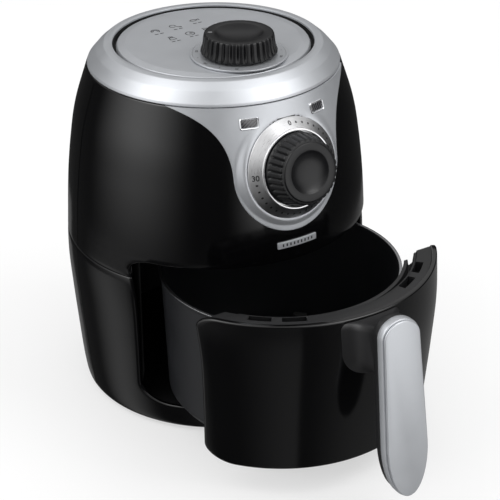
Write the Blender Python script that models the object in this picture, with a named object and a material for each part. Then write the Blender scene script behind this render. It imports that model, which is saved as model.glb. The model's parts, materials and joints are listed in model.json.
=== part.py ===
"""Compact hot-air fryer with a pull-out pan, one object for each physical piece.

Dimensions are millimetres, turned into metres where meshes are made. +Z is up and the
drawer faces -Y. The housing is a body of revolution about the fryer's own upright axis,
and most pieces are described about that axis, with the table top at height zero.
"""

import math

import bmesh
import bpy
from mathutils import Matrix, Vector

MM = 0.001

# Driving dimensions, millimetres
GAP = 0.3
WALL = 2.5
BODY_MAX_RADIUS = 106.0
BODY_PROFILE = (
    (2.0, 95.8), (3.4, 97.4), (12.0, 99.0), (25.0, 100.4), (45.0, 102.1), (70.0, 104.1),
    (103.0, BODY_MAX_RADIUS), (133.0, 104.8), (160.0, 103.0), (185.0, 100.1), (210.0, 95.7),
    (239.5, 86.3),
)
BODY_STEPS = 36
BASE_Z = 2.0
SEAM_Z = 118.4
RING_Z = 239.5

OPENING_FLOOR_Z = 20.0
OPENING_TOP_Z = 132.6
OPENING_HALF_WIDTH_LOW = 89.8
OPENING_HALF_WIDTH_TOP = 95.6
OPENING_LOW_CORNER = 14.0
OPENING_TOP_CORNER = 9.0
PANEL_CLEARANCE = 0.8
PANEL_THICKNESS = 3.0

PAN_FLOOR_Z = 21.6
PAN_RIM_Z = 118.2
PAN_RIM_RADIUS = 82.3
PAN_TOP_RADIUS = 81.0
PAN_FLOOR_RADIUS = 77.6
PAN_WALL = 1.3
TRAY_Z = 33.0
TRAY_RADIUS = 73.0
TRAY_THICKNESS = 1.5
TRAY_HOLE_RADIUS = 4.2
TRAY_HOLE_RINGS = (24.0, 48.0)

BRACKET_REAR_Y = -52.0
BRACKET_TOP_Z = 130.6
INNER_WALL_TOP_Z = 126.0
POCKET_FLOOR_Z = 123.4
SLOT_INNER_RADIUS = 91.3
SLOT_OUTER_RADIUS = 96.5
SLOT_SPANS_DEG = ((23.0, 32.5), (36.5, 45.5))

DRAWER_OUT = 84.0
HANDLE_TOP_Z = 141.7
HANDLE_LOW_Z = 20.4
HANDLE_TOP_REACH = 135.1
HANDLE_LOW_REACH = 152.5
HANDLE_TOP_HALF_WIDTH = 14.2
HANDLE_LOW_HALF_WIDTH = 16.3
HANDLE_TOP_ROUNDING = 11.7
HANDLE_LOW_ROUNDING = 35.0
COVER_DEPTH = 8.0
COVER_EDGE = 1.6
GRIP_DEPTH = 6.0
HANDLE_SCREW_ZS = (102.0, 118.0)
RIVET_Z = 108.0
RIVET_ANGLE_DEG = 25.0
RIVET_BORE = ((0, 70), (2.2, 70), (2.2, 95), (0, 95))

LINER_RADIUS = 87.0
LINER_WALL = 1.0
LINER_FLOOR_Z = 18.2
LINER_TOP_Z = 133.4
LINER_FRONT_Y = -46.0
ROOF_Z = 134.0
CHAMBER_RADIUS = 84.0
CHAMBER_TOP_Z = 166.0
SHEET = 1.2
HEATER_Z = 145.0
HEATER_RADIUS = 66.0
HEATER_INNER_RADIUS = 46.0
HEATER_TUBE_RADIUS = 3.2
HEATER_STEPS = 28

LID_Z = 252.6
LID_RADIUS = 66.2
TEMPERATURE_Y = -33.0
TEMPERATURE_DIAL_RADIUS = 32.4
TEMPERATURE_KNOB_Z = 255.4
KNOB_RIBS = 24

DIAL_Z = 195.9
DIAL_TILT_DEG = 12.7
DIAL_RADIUS = 33.5
DIAL_LIP_RADIUS = 25.1
DIAL_LIP_HEIGHT = 8.0
DIAL_SEAT_DEPTH = 96.6
SEAT_RADIUS = 35.2
SHIELD_RADIUS = 40.5
SHIELD_SHOULDER = ((40.5, 194.0), (40.5, 222.0), (52.0, 234.0), (76.0, 242.0))
WINDOW_Z = 228.8
WINDOW_ANGLE_DEG = 16.6
WINDOW_WIDTH = 10.8
WINDOW_HEIGHT = 5.4

FOOT_RADIUS = 8.0
FOOT_CIRCLE = 72.0
SCREW_CIRCLE = 86.0
GLAND_Z = 38.0
GRILLE_HALF_WIDTH = 32.0
GRILLE_LOW_Z = 150.0
GRILLE_TOP_Z = 196.0
SLAT_PITCH = 8.5
BADGE_Z = 145.0
BADGE_HALF_WIDTH = 15.0
BADGE_HALF_HEIGHT = 2.3

# Cutters and blanks run well past the housing, from this far in front to this far behind
FAR = 130.0

# The visible box is centred on the origin: the handle reaches furthest forward, and the
# widest ring of the housing furthest back.
HANDLE_LEAN = (HANDLE_LOW_REACH - HANDLE_TOP_REACH) / (HANDLE_TOP_Z - HANDLE_LOW_Z)
HANDLE_FRONT = DRAWER_OUT + HANDLE_LOW_REACH - COVER_EDGE * HANDLE_LEAN
BODY_AXIS_Y = (HANDLE_FRONT - BODY_MAX_RADIUS) / 2


def clear_scene():
    for obj in list(bpy.data.objects):
        bpy.data.objects.remove(obj, do_unlink=True)


def material(name, colour, roughness, metallic=0.0):
    made = bpy.data.materials.new(name)
    made.use_nodes = True
    shader = made.node_tree.nodes["Principled BSDF"]
    shader.inputs["Base Color"].default_value = (*colour, 1.0)
    shader.inputs["Roughness"].default_value = roughness
    shader.inputs["Metallic"].default_value = metallic
    return made


def body_radius(z):
    """Outer radius of the housing at a height: a cubic curve through BODY_PROFILE."""
    points = BODY_PROFILE
    if z <= points[0][0]:
        return points[0][1]
    if z >= points[-1][0]:
        return points[-1][1]
    i = max(k for k in range(len(points) - 1) if points[k][0] <= z)

    def slope(k):
        low = points[max(k - 1, 0)]
        high = points[min(k + 1, len(points) - 1)]
        return (high[1] - low[1]) / (high[0] - low[0])

    (z0, r0), (z1, r1) = points[i], points[i + 1]
    h = z1 - z0
    t = (z - z0) / h
    blend0 = (1 + 2 * t) * (1 - t) ** 2
    blend1 = t * t * (3 - 2 * t)
    lean0 = t * (1 - t) ** 2 * h
    lean1 = t * t * (t - 1) * h
    return blend0 * r0 + blend1 * r1 + lean0 * slope(i) + lean1 * slope(i + 1)


def spaced(low, high, count):
    return [low + (high - low) * i / (count - 1) for i in range(count)]


def rectangle(half_width, low, high):
    return [(-half_width, low), (half_width, low), (half_width, high), (-half_width, high)]


def arc_points(cx, cy, radius, start_deg, end_deg, steps):
    angles = [math.radians(a) for a in spaced(start_deg, end_deg, steps + 1)]
    return [(cx + radius * math.cos(a), cy + radius * math.sin(a)) for a in angles]


def rounded_outline(corners, radii, steps):
    """A polygon with each corner turned into an arc of its own radius."""
    outline = []
    count = len(corners)
    for i in range(count):
        here = Vector(corners[i])
        before = (Vector(corners[i - 1]) - here).normalized()
        after = (Vector(corners[(i + 1) % count]) - here).normalized()
        half = before.angle(after) / 2
        reach = radii[i] / math.tan(half)
        centre = here + (before + after).normalized() * (radii[i] / math.sin(half))
        start = here + before * reach - centre
        turn = start.angle_signed(here + after * reach - centre)
        for k in range(steps + 1):
            spoke = start.copy()
            spoke.rotate(Matrix.Rotation(-turn * k / steps, 2))
            outline.append(tuple(centre + spoke))
    return outline


def bezier(points, steps):
    curve = []
    for t in spaced(0.0, 1.0, steps + 1):
        weights = ((1 - t) ** 3, 3 * t * (1 - t) ** 2, 3 * t * t * (1 - t), t ** 3)
        curve.append(tuple(sum(w * p[axis] for w, p in zip(weights, points)) for axis in (0, 1)))
    return curve


def closed(bm):
    bmesh.ops.remove_doubles(bm, verts=bm.verts, dist=1e-6)
    bmesh.ops.recalc_face_normals(bm, faces=bm.faces)
    return bm


def lathe(profile, steps=BODY_STEPS):
    """A (radius, height) profile turned about the upright axis into one closed body."""
    bm = bmesh.new()
    verts = [bm.verts.new((r * MM, 0, z * MM)) for r, z in profile]
    edges = [bm.edges.new(pair) for pair in zip(verts, verts[1:])]
    if profile[0][0] > 0:
        edges.append(bm.edges.new((verts[-1], verts[0])))
    bmesh.ops.spin(
        bm, geom=verts + edges, cent=(0, 0, 0), axis=(0, 0, 1), angle=2 * math.pi,
        steps=steps, use_merge=True,
    )
    return closed(bm)


def loft(rings):
    """Skin over rings of equal length, with flat caps on the first and last ring."""
    bm = bmesh.new()
    rows = [[bm.verts.new(Vector(p) * MM) for p in ring] for ring in rings]
    count = len(rows[0])
    for low, high in zip(rows, rows[1:]):
        for i in range(count):
            j = (i + 1) % count
            bm.faces.new((low[i], low[j], high[j], high[i]))
    bm.faces.new(rows[0])
    bm.faces.new(rows[-1])
    return closed(bm)


def prism_y(outline, y0, y1):
    """An (x, z) outline extruded along Y."""
    return loft([[(x, y, z) for x, z in outline] for y in (y0, y1)])


def prism_z(outline, z0, z1):
    """An (x, y) outline extruded along Z."""
    return loft([[(x, y, z) for x, y in outline] for z in (z0, z1)])


def box(x0, x1, y0, y1, z0, z1):
    return prism_z([(x0, y0), (x1, y0), (x1, y1), (x0, y1)], z0, z1)


def cylinder(radius, z0, z1, centre=(0.0, 0.0), steps=24):
    ring = [(centre[0] + x, centre[1] + y) for x, y in arc_points(0, 0, radius, 0, 360, steps)[:-1]]
    return prism_z(ring, z0, z1)


def turned(bm, angle_deg, axis, centre=(0.0, 0.0, 0.0)):
    """The same mesh turned about an axis through a point."""
    pivot = Vector(centre) * MM
    turn = Matrix.Rotation(math.radians(angle_deg), 4, axis)
    bm.transform(Matrix.Translation(pivot) @ turn @ Matrix.Translation(-pivot))
    return bm


def moved(bm, offset):
    bm.transform(Matrix.Translation(Vector(offset) * MM))
    return bm


def frame_empty(name, location, tilt_deg=0.0):
    """An axis that pieces hang from, tilted back about X from upright."""
    empty = bpy.data.objects.new(name, None)
    empty.location = Vector(location) * MM
    empty.rotation_euler = (math.radians(tilt_deg), 0, 0)
    bpy.context.scene.collection.objects.link(empty)
    return empty


def piece(name, bm, finish, frame):
    mesh = bpy.data.meshes.new(name)
    bm.to_mesh(mesh)
    bm.free()
    mesh.shade_smooth()
    mesh.set_sharp_from_angle(angle=math.radians(30))
    mesh.materials.append(finish)
    obj = bpy.data.objects.new(name, mesh)
    obj.parent = frame
    bpy.context.scene.collection.objects.link(obj)
    return obj


def tool(target, bm, operation):
    """A Boolean on target with a hidden helper body in the same frame."""
    name = f"{target.name}_{operation.lower()}_{len(target.modifiers)}"
    helper = piece(name, bm, target.data.materials[0], target.parent)
    helper.hide_render = True
    helper.display_type = "WIRE"
    modifier = target.modifiers.new(name, "BOOLEAN")
    modifier.operation = operation
    modifier.solver = "EXACT"
    modifier.object = helper
    return target


def cut(target, bm):
    return tool(target, bm, "DIFFERENCE")


def keep(target, bm):
    return tool(target, bm, "INTERSECT")


def join(target, bm):
    return tool(target, bm, "UNION")


def shell_profile(z0, z1, outer_offset, inner_offset, rows):
    """Section of a wall that follows the housing, from z0 up to z1."""
    heights = spaced(z0, z1, rows)
    outer = [(body_radius(z) + outer_offset, z) for z in heights]
    inner = [(body_radius(z) + inner_offset, z) for z in reversed(heights)]
    return outer + inner


def solid_body(offset, z0, z1, rows=8):
    """The housing's outline filled solid, larger or smaller by offset."""
    heights = spaced(z0, z1, rows)
    return lathe([(0, z0)] + [(body_radius(z) + offset, z) for z in heights] + [(0, z1)])


def drawer_outline(inset, steps):
    """The drawer opening seen from the front, or the panel that fills it."""
    low = OPENING_FLOOR_Z + inset
    top = OPENING_TOP_Z - inset
    half_low = OPENING_HALF_WIDTH_LOW - inset
    half_top = OPENING_HALF_WIDTH_TOP - inset
    corners = [(-half_low, low), (half_low, low), (half_top, top), (-half_top, top)]
    low_radius = OPENING_LOW_CORNER - inset
    top_radius = OPENING_TOP_CORNER - inset
    return rounded_outline(corners, [low_radius, low_radius, top_radius, top_radius], steps)


def shield_outline(inset, steps):
    """The control panel seen from the front: a round chin that flares out to the top ring."""
    shoulder = [(x - inset, z) for x, z in bezier(SHIELD_SHOULDER, steps)]
    chin = arc_points(0, SHIELD_SHOULDER[0][1], SHIELD_RADIUS - inset, 0, -180, 2 * steps)
    right = [(x, z) for x, z in reversed(shoulder)]
    left = [(-x, z) for x, z in shoulder]
    return right + chin[1:-1] + left


# Housing

def build_lower_housing(frame, plastic):
    outer_heights = [3.4, 12.0, 35.0, 70.0, 103.0, SEAM_Z - GAP]
    inner_heights = [SEAM_Z - GAP, 60.0, 12.0]
    profile = [(body_radius(BASE_Z), BASE_Z)]
    profile += [(body_radius(z), z) for z in outer_heights]
    profile += [(body_radius(z) - WALL, z) for z in inner_heights]
    profile.append((body_radius(BASE_Z) - WALL, 7.6))
    # A ledge inside the foot of the shell, which the bottom cover is screwed up to
    profile += [(82.0, 7.6), (82.0, 5.4), (92.6, 5.4), (92.6, BASE_Z)]
    shell = piece("base_housing", lathe(profile), plastic, frame)
    cut(shell, prism_y(drawer_outline(0.0, 5), -FAR, -30))
    for x, y in corner_points(SCREW_CIRCLE):
        cut(shell, cylinder(1.7, 4.0, 9.0, (x, y), 12))


def corner_points(radius):
    angles = [math.radians(a) for a in (45, 135, 225, 315)]
    return [(radius * math.cos(a), radius * math.sin(a)) for a in angles]


def build_bottom(frame, plastic, rubber, steel):
    disc = cylinder(92.2, BASE_Z + 0.2, 5.0, steps=BODY_STEPS)
    plate = piece("bottom_cover", disc, plastic, frame)
    for i, (x, y) in enumerate(corner_points(SCREW_CIRCLE)):
        cut(plate, cylinder(1.8, 1.0, 6.0, (x, y), 12))
        screw = [(0, 0.8), (3.0, 0.8), (3.0, 1.9), (1.4, 1.9), (1.4, 11.0), (0, 11.0)]
        piece(f"bottom_screw_{i + 1}", moved(lathe(screw, 12), (x, y, 0)), steel, frame)
    foot_top = BASE_Z - 0.1
    foot = [(0, 0), (FOOT_RADIUS - 0.8, 0), (FOOT_RADIUS, 0.7), (FOOT_RADIUS, foot_top), (0, foot_top)]
    for i, (x, y) in enumerate(corner_points(FOOT_CIRCLE)):
        piece(f"foot_{i + 1}", moved(lathe(foot, 20), (x, y, 0)), rubber, frame)


def build_upper_housing(frame, plastic):
    outer = [SEAM_Z, 140.0, 160.0, 180.0, 198.0, 214.0, 228.0, RING_Z - GAP]
    inner = [RING_Z - 3.0, 200.0, SEAM_Z]
    profile = [(body_radius(z), z) for z in outer]
    profile += [(60.0, RING_Z - GAP), (60.0, RING_Z - 3.0)]
    profile += [(body_radius(z) - WALL, z) for z in inner]
    shell = piece("upper_housing", lathe(profile), plastic, frame)
    cut(shell, prism_y(drawer_outline(0.0, 5), -FAR, -30))
    cut(shell, prism_y(shield_outline(0.0, 7), -FAR, -35))
    cut(shell, prism_y(grille_outline(0.5), 70, FAR))


def grille_outline(inset):
    corners = rectangle(GRILLE_HALF_WIDTH - inset, GRILLE_LOW_Z + inset, GRILLE_TOP_Z - inset)
    return rounded_outline(corners, [5 - inset] * 4, 3)


def build_rear(frame, plastic, rubber):
    """Hot air leaves through slats at the back, and the mains lead enters below them."""
    grille = piece("rear_vent_grille", lathe(shell_profile(146, 200, 0.0, -WALL, 4)), plastic, frame)
    keep(grille, prism_y(grille_outline(0.8), 70, FAR))
    for i in range(5):
        z = GRILLE_LOW_Z + 6.0 + SLAT_PITCH * i
        slot = rounded_outline(rectangle(26, z - 2, z + 2), [1.9] * 4, 2)
        cut(grille, prism_y(slot, 70, FAR))
    gland = [(2.6, 0), (6.0, 0), (6.0, 1.8), (5.0, 2.2), (4.6, 4.4), (2.6, 4.4)]
    seat_y = body_radius(GLAND_Z) - 1.0
    collar = turned(lathe(gland, 16), -90, "X")
    piece("cord_gland", moved(collar, (0, seat_y + GAP, GLAND_Z)), rubber, frame)
    recess = turned(cylinder(6.6, -4, 10), -90, "X")
    cut(bpy.data.objects["base_housing"], moved(recess, (0, seat_y, GLAND_Z)))


def build_top(frame, silver):
    ring = [
        (86.2, RING_Z), (84.2, 243.2), (79.4, 248.3), (73.8, 252.4), (70.6, 253.0),
        (68.2, 251.5), (68.2, 246.6), (62.0, 246.6), (62.0, 245.0), (70.0, 245.0), (79.0, RING_Z),
    ]
    piece("top_ring", lathe(ring), silver, frame)
    lid = [
        (0, LID_Z), (59.5, LID_Z), (64.0, 251.9), (LID_RADIUS, 249.8), (LID_RADIUS, 247.0),
        (64.2, 247.0), (63.4, 249.4), (58.0, LID_Z - 1.8), (0, LID_Z - 1.8),
    ]
    plate = piece("top_lid", lathe(lid), silver, frame)
    cut(plate, cylinder(4.6, 245, 258, (0, TEMPERATURE_Y)))


def build_control_panel(frame, silver):
    wall = lathe(shell_profile(150, RING_Z - GAP, 0.4, -WALL, 7))
    panel = piece("control_panel", wall, silver, frame)
    keep(panel, prism_y(shield_outline(0.4, 7), -FAR, -38))
    cut(panel, on_dial(cylinder(SEAT_RADIUS, 0.0, 20.0, steps=36)))
    join(panel, on_dial(cylinder(SEAT_RADIUS, -10.0, 0.0, steps=36)))
    cut(panel, on_dial(cylinder(4.6, -20, 20)))
    for side in (-1, 1):
        cut(panel, window_block(side, WINDOW_WIDTH + 3.0, WINDOW_HEIGHT + 3.0, -8, 8))


def on_dial(bm):
    """A mesh about the upright axis, set on the axis of the timer dial instead."""
    return moved(turned(bm, 90 - DIAL_TILT_DEG, "X"), (0, -DIAL_SEAT_DEPTH, DIAL_Z))


def window_block(side, width, height, depth0, depth1):
    """A block square to the housing's surface where an indicator window sits."""
    slope = (body_radius(WINDOW_Z + 4) - body_radius(WINDOW_Z - 4)) / 8
    corners = rectangle(width / 2, -height / 2, height / 2)
    block = prism_y(rounded_outline(corners, [0.8] * 4, 2), -depth1, -depth0)
    turned(block, math.degrees(math.atan(slope)), "X")
    moved(block, (0, -body_radius(WINDOW_Z), WINDOW_Z))
    return turned(block, side * WINDOW_ANGLE_DEG, "Z")


def build_indicators(frame, chrome, lens_plastic, plastic):
    for side, word in ((-1, "left"), (1, "right")):
        rim = window_block(side, WINDOW_WIDTH + 2.4, WINDOW_HEIGHT + 2.4, -1.5, 1.2)
        bezel = piece(f"indicator_bezel_{word}", rim, chrome, frame)
        cut(bezel, window_block(side, WINDOW_WIDTH, WINDOW_HEIGHT, -8, 8))
        glass = window_block(side, WINDOW_WIDTH - 0.6, WINDOW_HEIGHT - 0.6, -2.0, 0.6)
        piece(f"indicator_lens_{word}", glass, lens_plastic, frame)
        lamp = window_block(side, 6.0, 4.0, -13.0, -2.4)
        piece(f"indicator_lamp_{word}", lamp, plastic, frame)


def build_badge(frame, silver):
    wall = lathe(shell_profile(BADGE_Z - 5, BADGE_Z + 5, 1.1, GAP, 2), 72)
    badge = piece("badge_plate", wall, silver, frame)
    corners = rectangle(BADGE_HALF_WIDTH, BADGE_Z - BADGE_HALF_HEIGHT, BADGE_Z + BADGE_HALF_HEIGHT)
    keep(badge, prism_y(rounded_outline(corners, [0.8] * 4, 2), -FAR, -60))


# Cooking chamber and works

def u_plan(radius, front_y, steps):
    back = arc_points(0, 0, radius, 0, 180, steps)
    return [(radius, front_y)] + back + [(-radius, front_y)]


def build_liner(frame, steel):
    """Three walls and a floor round the drawer, open at the front and at the top."""
    block = prism_z(u_plan(LINER_RADIUS + LINER_WALL, -115, 20), LINER_FLOOR_Z, LINER_TOP_Z)
    liner = piece("cavity_liner", block, steel, frame)
    above = LINER_TOP_Z + 9
    cut(liner, prism_z(u_plan(LINER_RADIUS, -125, 20), LINER_FLOOR_Z + LINER_WALL, above))
    keep(liner, solid_body(-WALL - 0.8, 10, 140, 5))
    cut(liner, box(-FAR, FAR, -FAR, LINER_FRONT_Y, LINER_FLOOR_Z + 3, above))


def build_roof(frame, steel):
    top_radius = CHAMBER_RADIUS - 4
    profile = [
        (98.0, ROOF_Z), (98.0, ROOF_Z + SHEET), (CHAMBER_RADIUS + SHEET, ROOF_Z + SHEET),
        (top_radius + SHEET, CHAMBER_TOP_Z + SHEET), (7.0, CHAMBER_TOP_Z + SHEET),
        (7.0, CHAMBER_TOP_Z), (top_radius, CHAMBER_TOP_Z), (CHAMBER_RADIUS, ROOF_Z),
    ]
    roof = piece("chamber_roof", lathe(profile, 28), steel, frame)
    for x in (-8, 8):
        hole = cylinder(4.2, CHAMBER_TOP_Z - 5, CHAMBER_TOP_Z + 5, (x, HEATER_RADIUS), 12)
        cut(roof, hole)


def tube_points(route, radius, sides):
    """Rings of a round tube along a route of points."""
    rings = []
    for i, here in enumerate(route):
        ahead = (route[min(i + 1, len(route) - 1)] - route[max(i - 1, 0)]).normalized()
        if abs(ahead.z) < 0.9:
            across = ahead.cross(Vector((0, 0, 1))).normalized()
        else:
            across = Vector((ahead.y + 1, -ahead.x, 0)).normalized()
            across = (across - ahead * across.dot(ahead)).normalized()
        up = across.cross(ahead)
        ring = []
        for k in range(sides):
            a = 2 * math.pi * k / sides
            ring.append(here + across * radius * math.cos(a) + up * radius * math.sin(a))
        rings.append(ring)
    return rings


def build_heater(frame, steel):
    """A tube bent into two turns, whose straight cold ends rise through the roof."""
    z = HEATER_Z
    top = CHAMBER_TOP_Z + 10
    turns = []
    for share in spaced(0.0, 1.0, HEATER_STEPS + 1):
        angle = math.radians(97 + 706 * share)
        inward = max(0.0, min(1.0, (share - 0.45) / 0.1))
        radius = HEATER_RADIUS + (HEATER_INNER_RADIUS - HEATER_RADIUS) * inward
        turns.append(Vector((radius * math.cos(angle), radius * math.sin(angle), z)))
    last = turns[-1]
    far = HEATER_RADIUS
    route = [Vector((-8, far, top)), Vector((-8, far, z + 15)), Vector((-8, far, z + 4))] + turns
    route += [last + Vector((5, 5, 0)), Vector((8, far - 5, z + 1.5)), Vector((8, far, z + 6))]
    route += [Vector((8, far, z + 15)), Vector((8, far, top))]
    piece("heating_element", loft(tube_points(route, HEATER_TUBE_RADIUS, 6)), steel, frame)


def build_fan(frame, steel, plastic):
    """One shaft carries the hot-air fan under the roof and the cooling fan above it."""
    piece("motor_shaft", lathe([(0, 150), (2.6, 150), (2.6, 214), (0, 214)], 16), steel, frame)
    hub = [(3.0, 151), (10.0, 151), (10.0, 158), (58.0, 158), (58.0, 159.2), (3.0, 159.2)]
    convection = piece("convection_fan", lathe(hub, 24), steel, frame)
    for i in range(8):
        blade = box(20, 57, -0.6, 0.6, 151.5, 158.6)
        join(convection, turned(turned(blade, 24, "Z", (20, 0, 0)), 45 * i, "Z"))
    hub = [(3.0, 169.5), (9.0, 169.5), (9.0, 177.5), (3.0, 177.5)]
    cooling = piece("cooling_fan", lathe(hub, 20), plastic, frame)
    for i in range(7):
        blade = turned(box(8, 38, -0.7, 0.7, 169.8, 177.2), 30, "X", (0, 0, 173.5))
        join(cooling, turned(blade, 360 / 7 * i, "Z"))


def build_motor(frame, steel, dark):
    motor = piece("fan_motor", box(-26, 26, -20, 26, 184.3, 205), steel, frame)
    cut(motor, cylinder(3.2, 180, 220, steps=16))
    strip = prism_z(rounded_outline(rectangle(46, -7, 7), [5] * 4, 3), 182.0, 184.0)
    bridge = piece("motor_bracket", strip, steel, frame)
    cut(bridge, cylinder(6.0, 180, 186))
    for side in (-1, 1):
        join(bridge, cylinder(3.5, CHAMBER_TOP_Z + SHEET + GAP, 183.0, (side * 42.5, 0), 12))
    piece("terminal_block", box(-18, 18, 56, 68, 190, 202), dark, frame)
    piece("thermal_fuse", turned(cylinder(3.0, -9, 9, steps=12), 90, "Y"), steel, frame)
    bpy.data.objects["thermal_fuse"].location = Vector((-52, 30, CHAMBER_TOP_Z + SHEET + 3.5)) * MM
    switch = box(-4, 4, -9, 9, 0, 15)
    piece("drawer_switch", turned(moved(switch, (92, 0, ROOF_Z + SHEET + GAP)), -40, "Z"), dark, frame)


def build_controls_inside(frame, steel, dark):
    can = lathe([(4.2, 228), (15, 228), (15, 244), (4.2, 244)], 24)
    piece("thermostat", moved(can, (0, TEMPERATURE_Y, 0)), steel, frame)
    timer_frame = bpy.data.objects["timer_axis"]
    case = piece("timer_mechanism", box(-21, 21, -18, 21, -35, -11), dark, timer_frame)
    cut(case, cylinder(4.2, -30, 0, steps=16))
    bell = [
        (0, -43.3), (12, -42.0), (16, -38.5), (16.5, -35.3), (15.3, -35.3), (14.6, -38.0),
        (11, -41.0), (0, -42.2),
    ]
    piece("timer_bell", lathe(bell, 20), steel, timer_frame)


# Dials and knobs

def knob_section(profile, ribs, rib_depth, ribbed_rows):
    """Rings of a ribbed knob: the rows named in ribbed_rows have flutes, the rest are round."""
    count = 2 * ribs
    rings = []
    for row, (radius, z) in enumerate(profile):
        ring = []
        for k in range(count):
            r = radius - (rib_depth if k % 2 and row in ribbed_rows else 0.0)
            a = 2 * math.pi * k / count
            ring.append((r * math.cos(a), r * math.sin(a), z))
        rings.append(ring)
    return rings


def build_temperature_control(frame, silver, plastic, steel):
    low = LID_Z + GAP
    top = LID_Z + 1.5
    edge = TEMPERATURE_DIAL_RADIUS
    plate = lathe([(4.6, low), (edge, low), (edge, top - 0.2), (30.8, top), (4.6, top)], 36)
    piece("temperature_dial", moved(plate, (0, TEMPERATURE_Y, 0)), silver, frame)
    axis = frame_empty("temperature_axis", (0, TEMPERATURE_Y + BODY_AXIS_Y, TEMPERATURE_KNOB_Z))
    profile = [
        (4.0, 0.0), (25.6, 0.0), (25.6, 1.8), (24.6, 3.4), (23.4, 12.2), (22.4, 13.2),
        (16.4, 13.2), (8.0, 10.2),
    ]
    rings = knob_section(profile, KNOB_RIBS, 0.8, (3, 4))
    piece("temperature_knob", loft(rings), plastic, axis)
    spindle = lathe([(0, -29.0), (3.9, -29.0), (3.9, -GAP), (0, -GAP)], 16)
    piece("thermostat_spindle", spindle, steel, axis)


def build_timer_control(axis, aluminium, plastic, steel):
    lip = DIAL_LIP_RADIUS
    ring = [
        (4.6, GAP), (DIAL_RADIUS, GAP), (DIAL_RADIUS, 1.1), (lip + 0.6, DIAL_LIP_HEIGHT),
        (lip, DIAL_LIP_HEIGHT), (lip, 1.8), (4.6, 1.8),
    ]
    piece("timer_dial", lathe(ring, 36), aluminium, axis)
    profile = [
        (4.0, 2.6), (24.3, 2.6), (24.3, 9.0), (23.4, 10.4), (21.6, 21.0), (20.0, 22.2),
        (13.9, 22.2), (7.0, 19.2),
    ]
    rings = knob_section(profile, KNOB_RIBS, 0.8, (3, 4))
    piece("timer_knob", loft(rings), plastic, axis)
    spindle = lathe([(0, -29.0), (3.9, -29.0), (3.9, 2.6 - GAP), (0, 2.6 - GAP)], 16)
    piece("timer_spindle", spindle, steel, axis)


# Drawer, described as if shut, about the fryer's axis

def build_pan(frame, coated):
    floor = PAN_FLOOR_Z
    rim = PAN_RIM_Z
    profile = [
        (0, floor), (PAN_FLOOR_RADIUS - 8, floor), (PAN_FLOOR_RADIUS - 3, floor + 2.0),
        (PAN_FLOOR_RADIUS, floor + 8), (PAN_TOP_RADIUS, rim - 1.6), (PAN_RIM_RADIUS, rim - 1.3),
        (PAN_RIM_RADIUS, rim), (PAN_TOP_RADIUS - PAN_WALL, rim),
        (PAN_FLOOR_RADIUS - PAN_WALL, floor + 8.6), (PAN_FLOOR_RADIUS - 9, floor + PAN_WALL),
        (0, floor + PAN_WALL),
    ]
    pan = piece("pan", lathe(profile), coated, frame)
    for side in (-1, 1):
        cut(pan, rivet_body(side, RIVET_BORE))


def forward(bm, z):
    """A mesh about the upright axis, laid forward at a height so that its top leads."""
    return moved(turned(bm, 90, "X"), (0, 0, z))


def rivet_body(side, profile):
    """A round body lying along a radius of the pan, on one side of the front."""
    return turned(forward(lathe(profile, 12), RIVET_Z), side * RIVET_ANGLE_DEG, "Z")


def build_tray(frame, coated, silicone):
    top = TRAY_Z + TRAY_THICKNESS
    disc = cylinder(TRAY_RADIUS, TRAY_Z, top, steps=BODY_STEPS)
    tray = piece("crisper_plate", disc, coated, frame)
    centres = [(0.0, 0.0)]
    for ring, radius in enumerate(TRAY_HOLE_RINGS):
        centres += arc_points(0, 0, radius, 0, 360, 6 * (ring + 1))[:-1]
    holes = bmesh.new()
    for x, y in centres:
        hole = cylinder(TRAY_HOLE_RADIUS, TRAY_Z - 3, top + 5, (x, y), 8)
        copy = bpy.data.meshes.new("hole")
        hole.to_mesh(copy)
        hole.free()
        holes.from_mesh(copy)
        bpy.data.meshes.remove(copy)
    cut(tray, holes)
    inner = TRAY_RADIUS - 3.6
    outer = TRAY_RADIUS + 1.6
    corners = [(inner, -5), (outer, -5), (outer, 5), (inner, 5)]
    for i in range(4):
        clip = prism_z(rounded_outline(corners, [1.4] * 4, 2), TRAY_Z - 3.4, TRAY_Z + 4.5)
        bumper = piece(f"tray_bumper_{i + 1}", turned(clip, 45 + 90 * i, "Z"), silicone, frame)
        cut(bumper, cylinder(TRAY_RADIUS + GAP, TRAY_Z - GAP, top + GAP, steps=2 * BODY_STEPS))


def build_front_panel(frame, plastic):
    wall = lathe(shell_profile(16, 138, 0.0, -PANEL_THICKNESS, 7))
    panel = piece("front_panel", wall, plastic, frame)
    keep(panel, prism_y(drawer_outline(PANEL_CLEARANCE, 5), -FAR, -30))
    for z in HANDLE_SCREW_ZS:
        cut(panel, forward(cylinder(2.1, 90, 115, steps=12), z))


def build_bracket(frame, plastic):
    """The ledge between pan and panel, with its low inner wall, groove, rib and deep vent pockets."""
    top = BRACKET_TOP_Z
    outer = body_radius(top) - PANEL_THICKNESS - GAP
    profile = [
        (83.0, 98.0), (85.2, 98.0), (85.2, 117.0), (90.0, 119.5), (90.0, 122.0), (outer - 0.4, 122.0),
        (outer, top), (91.0, top), (91.0, top - 1.0), (89.4, top - 1.0), (88.6, 122.6),
        (86.0, 121.0), (85.4, INNER_WALL_TOP_Z), (83.0, INNER_WALL_TOP_Z),
    ]
    bracket = piece("pan_bracket", lathe(profile), plastic, frame)
    keep(bracket, box(-FAR, FAR, -FAR, BRACKET_REAR_Y, 80, 140))
    for side in (-1, 1):
        for low, high in SLOT_SPANS_DEG:
            cut(bracket, vent_pocket(side, low, high))
        cut(bracket, rivet_body(side, RIVET_BORE))


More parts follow.
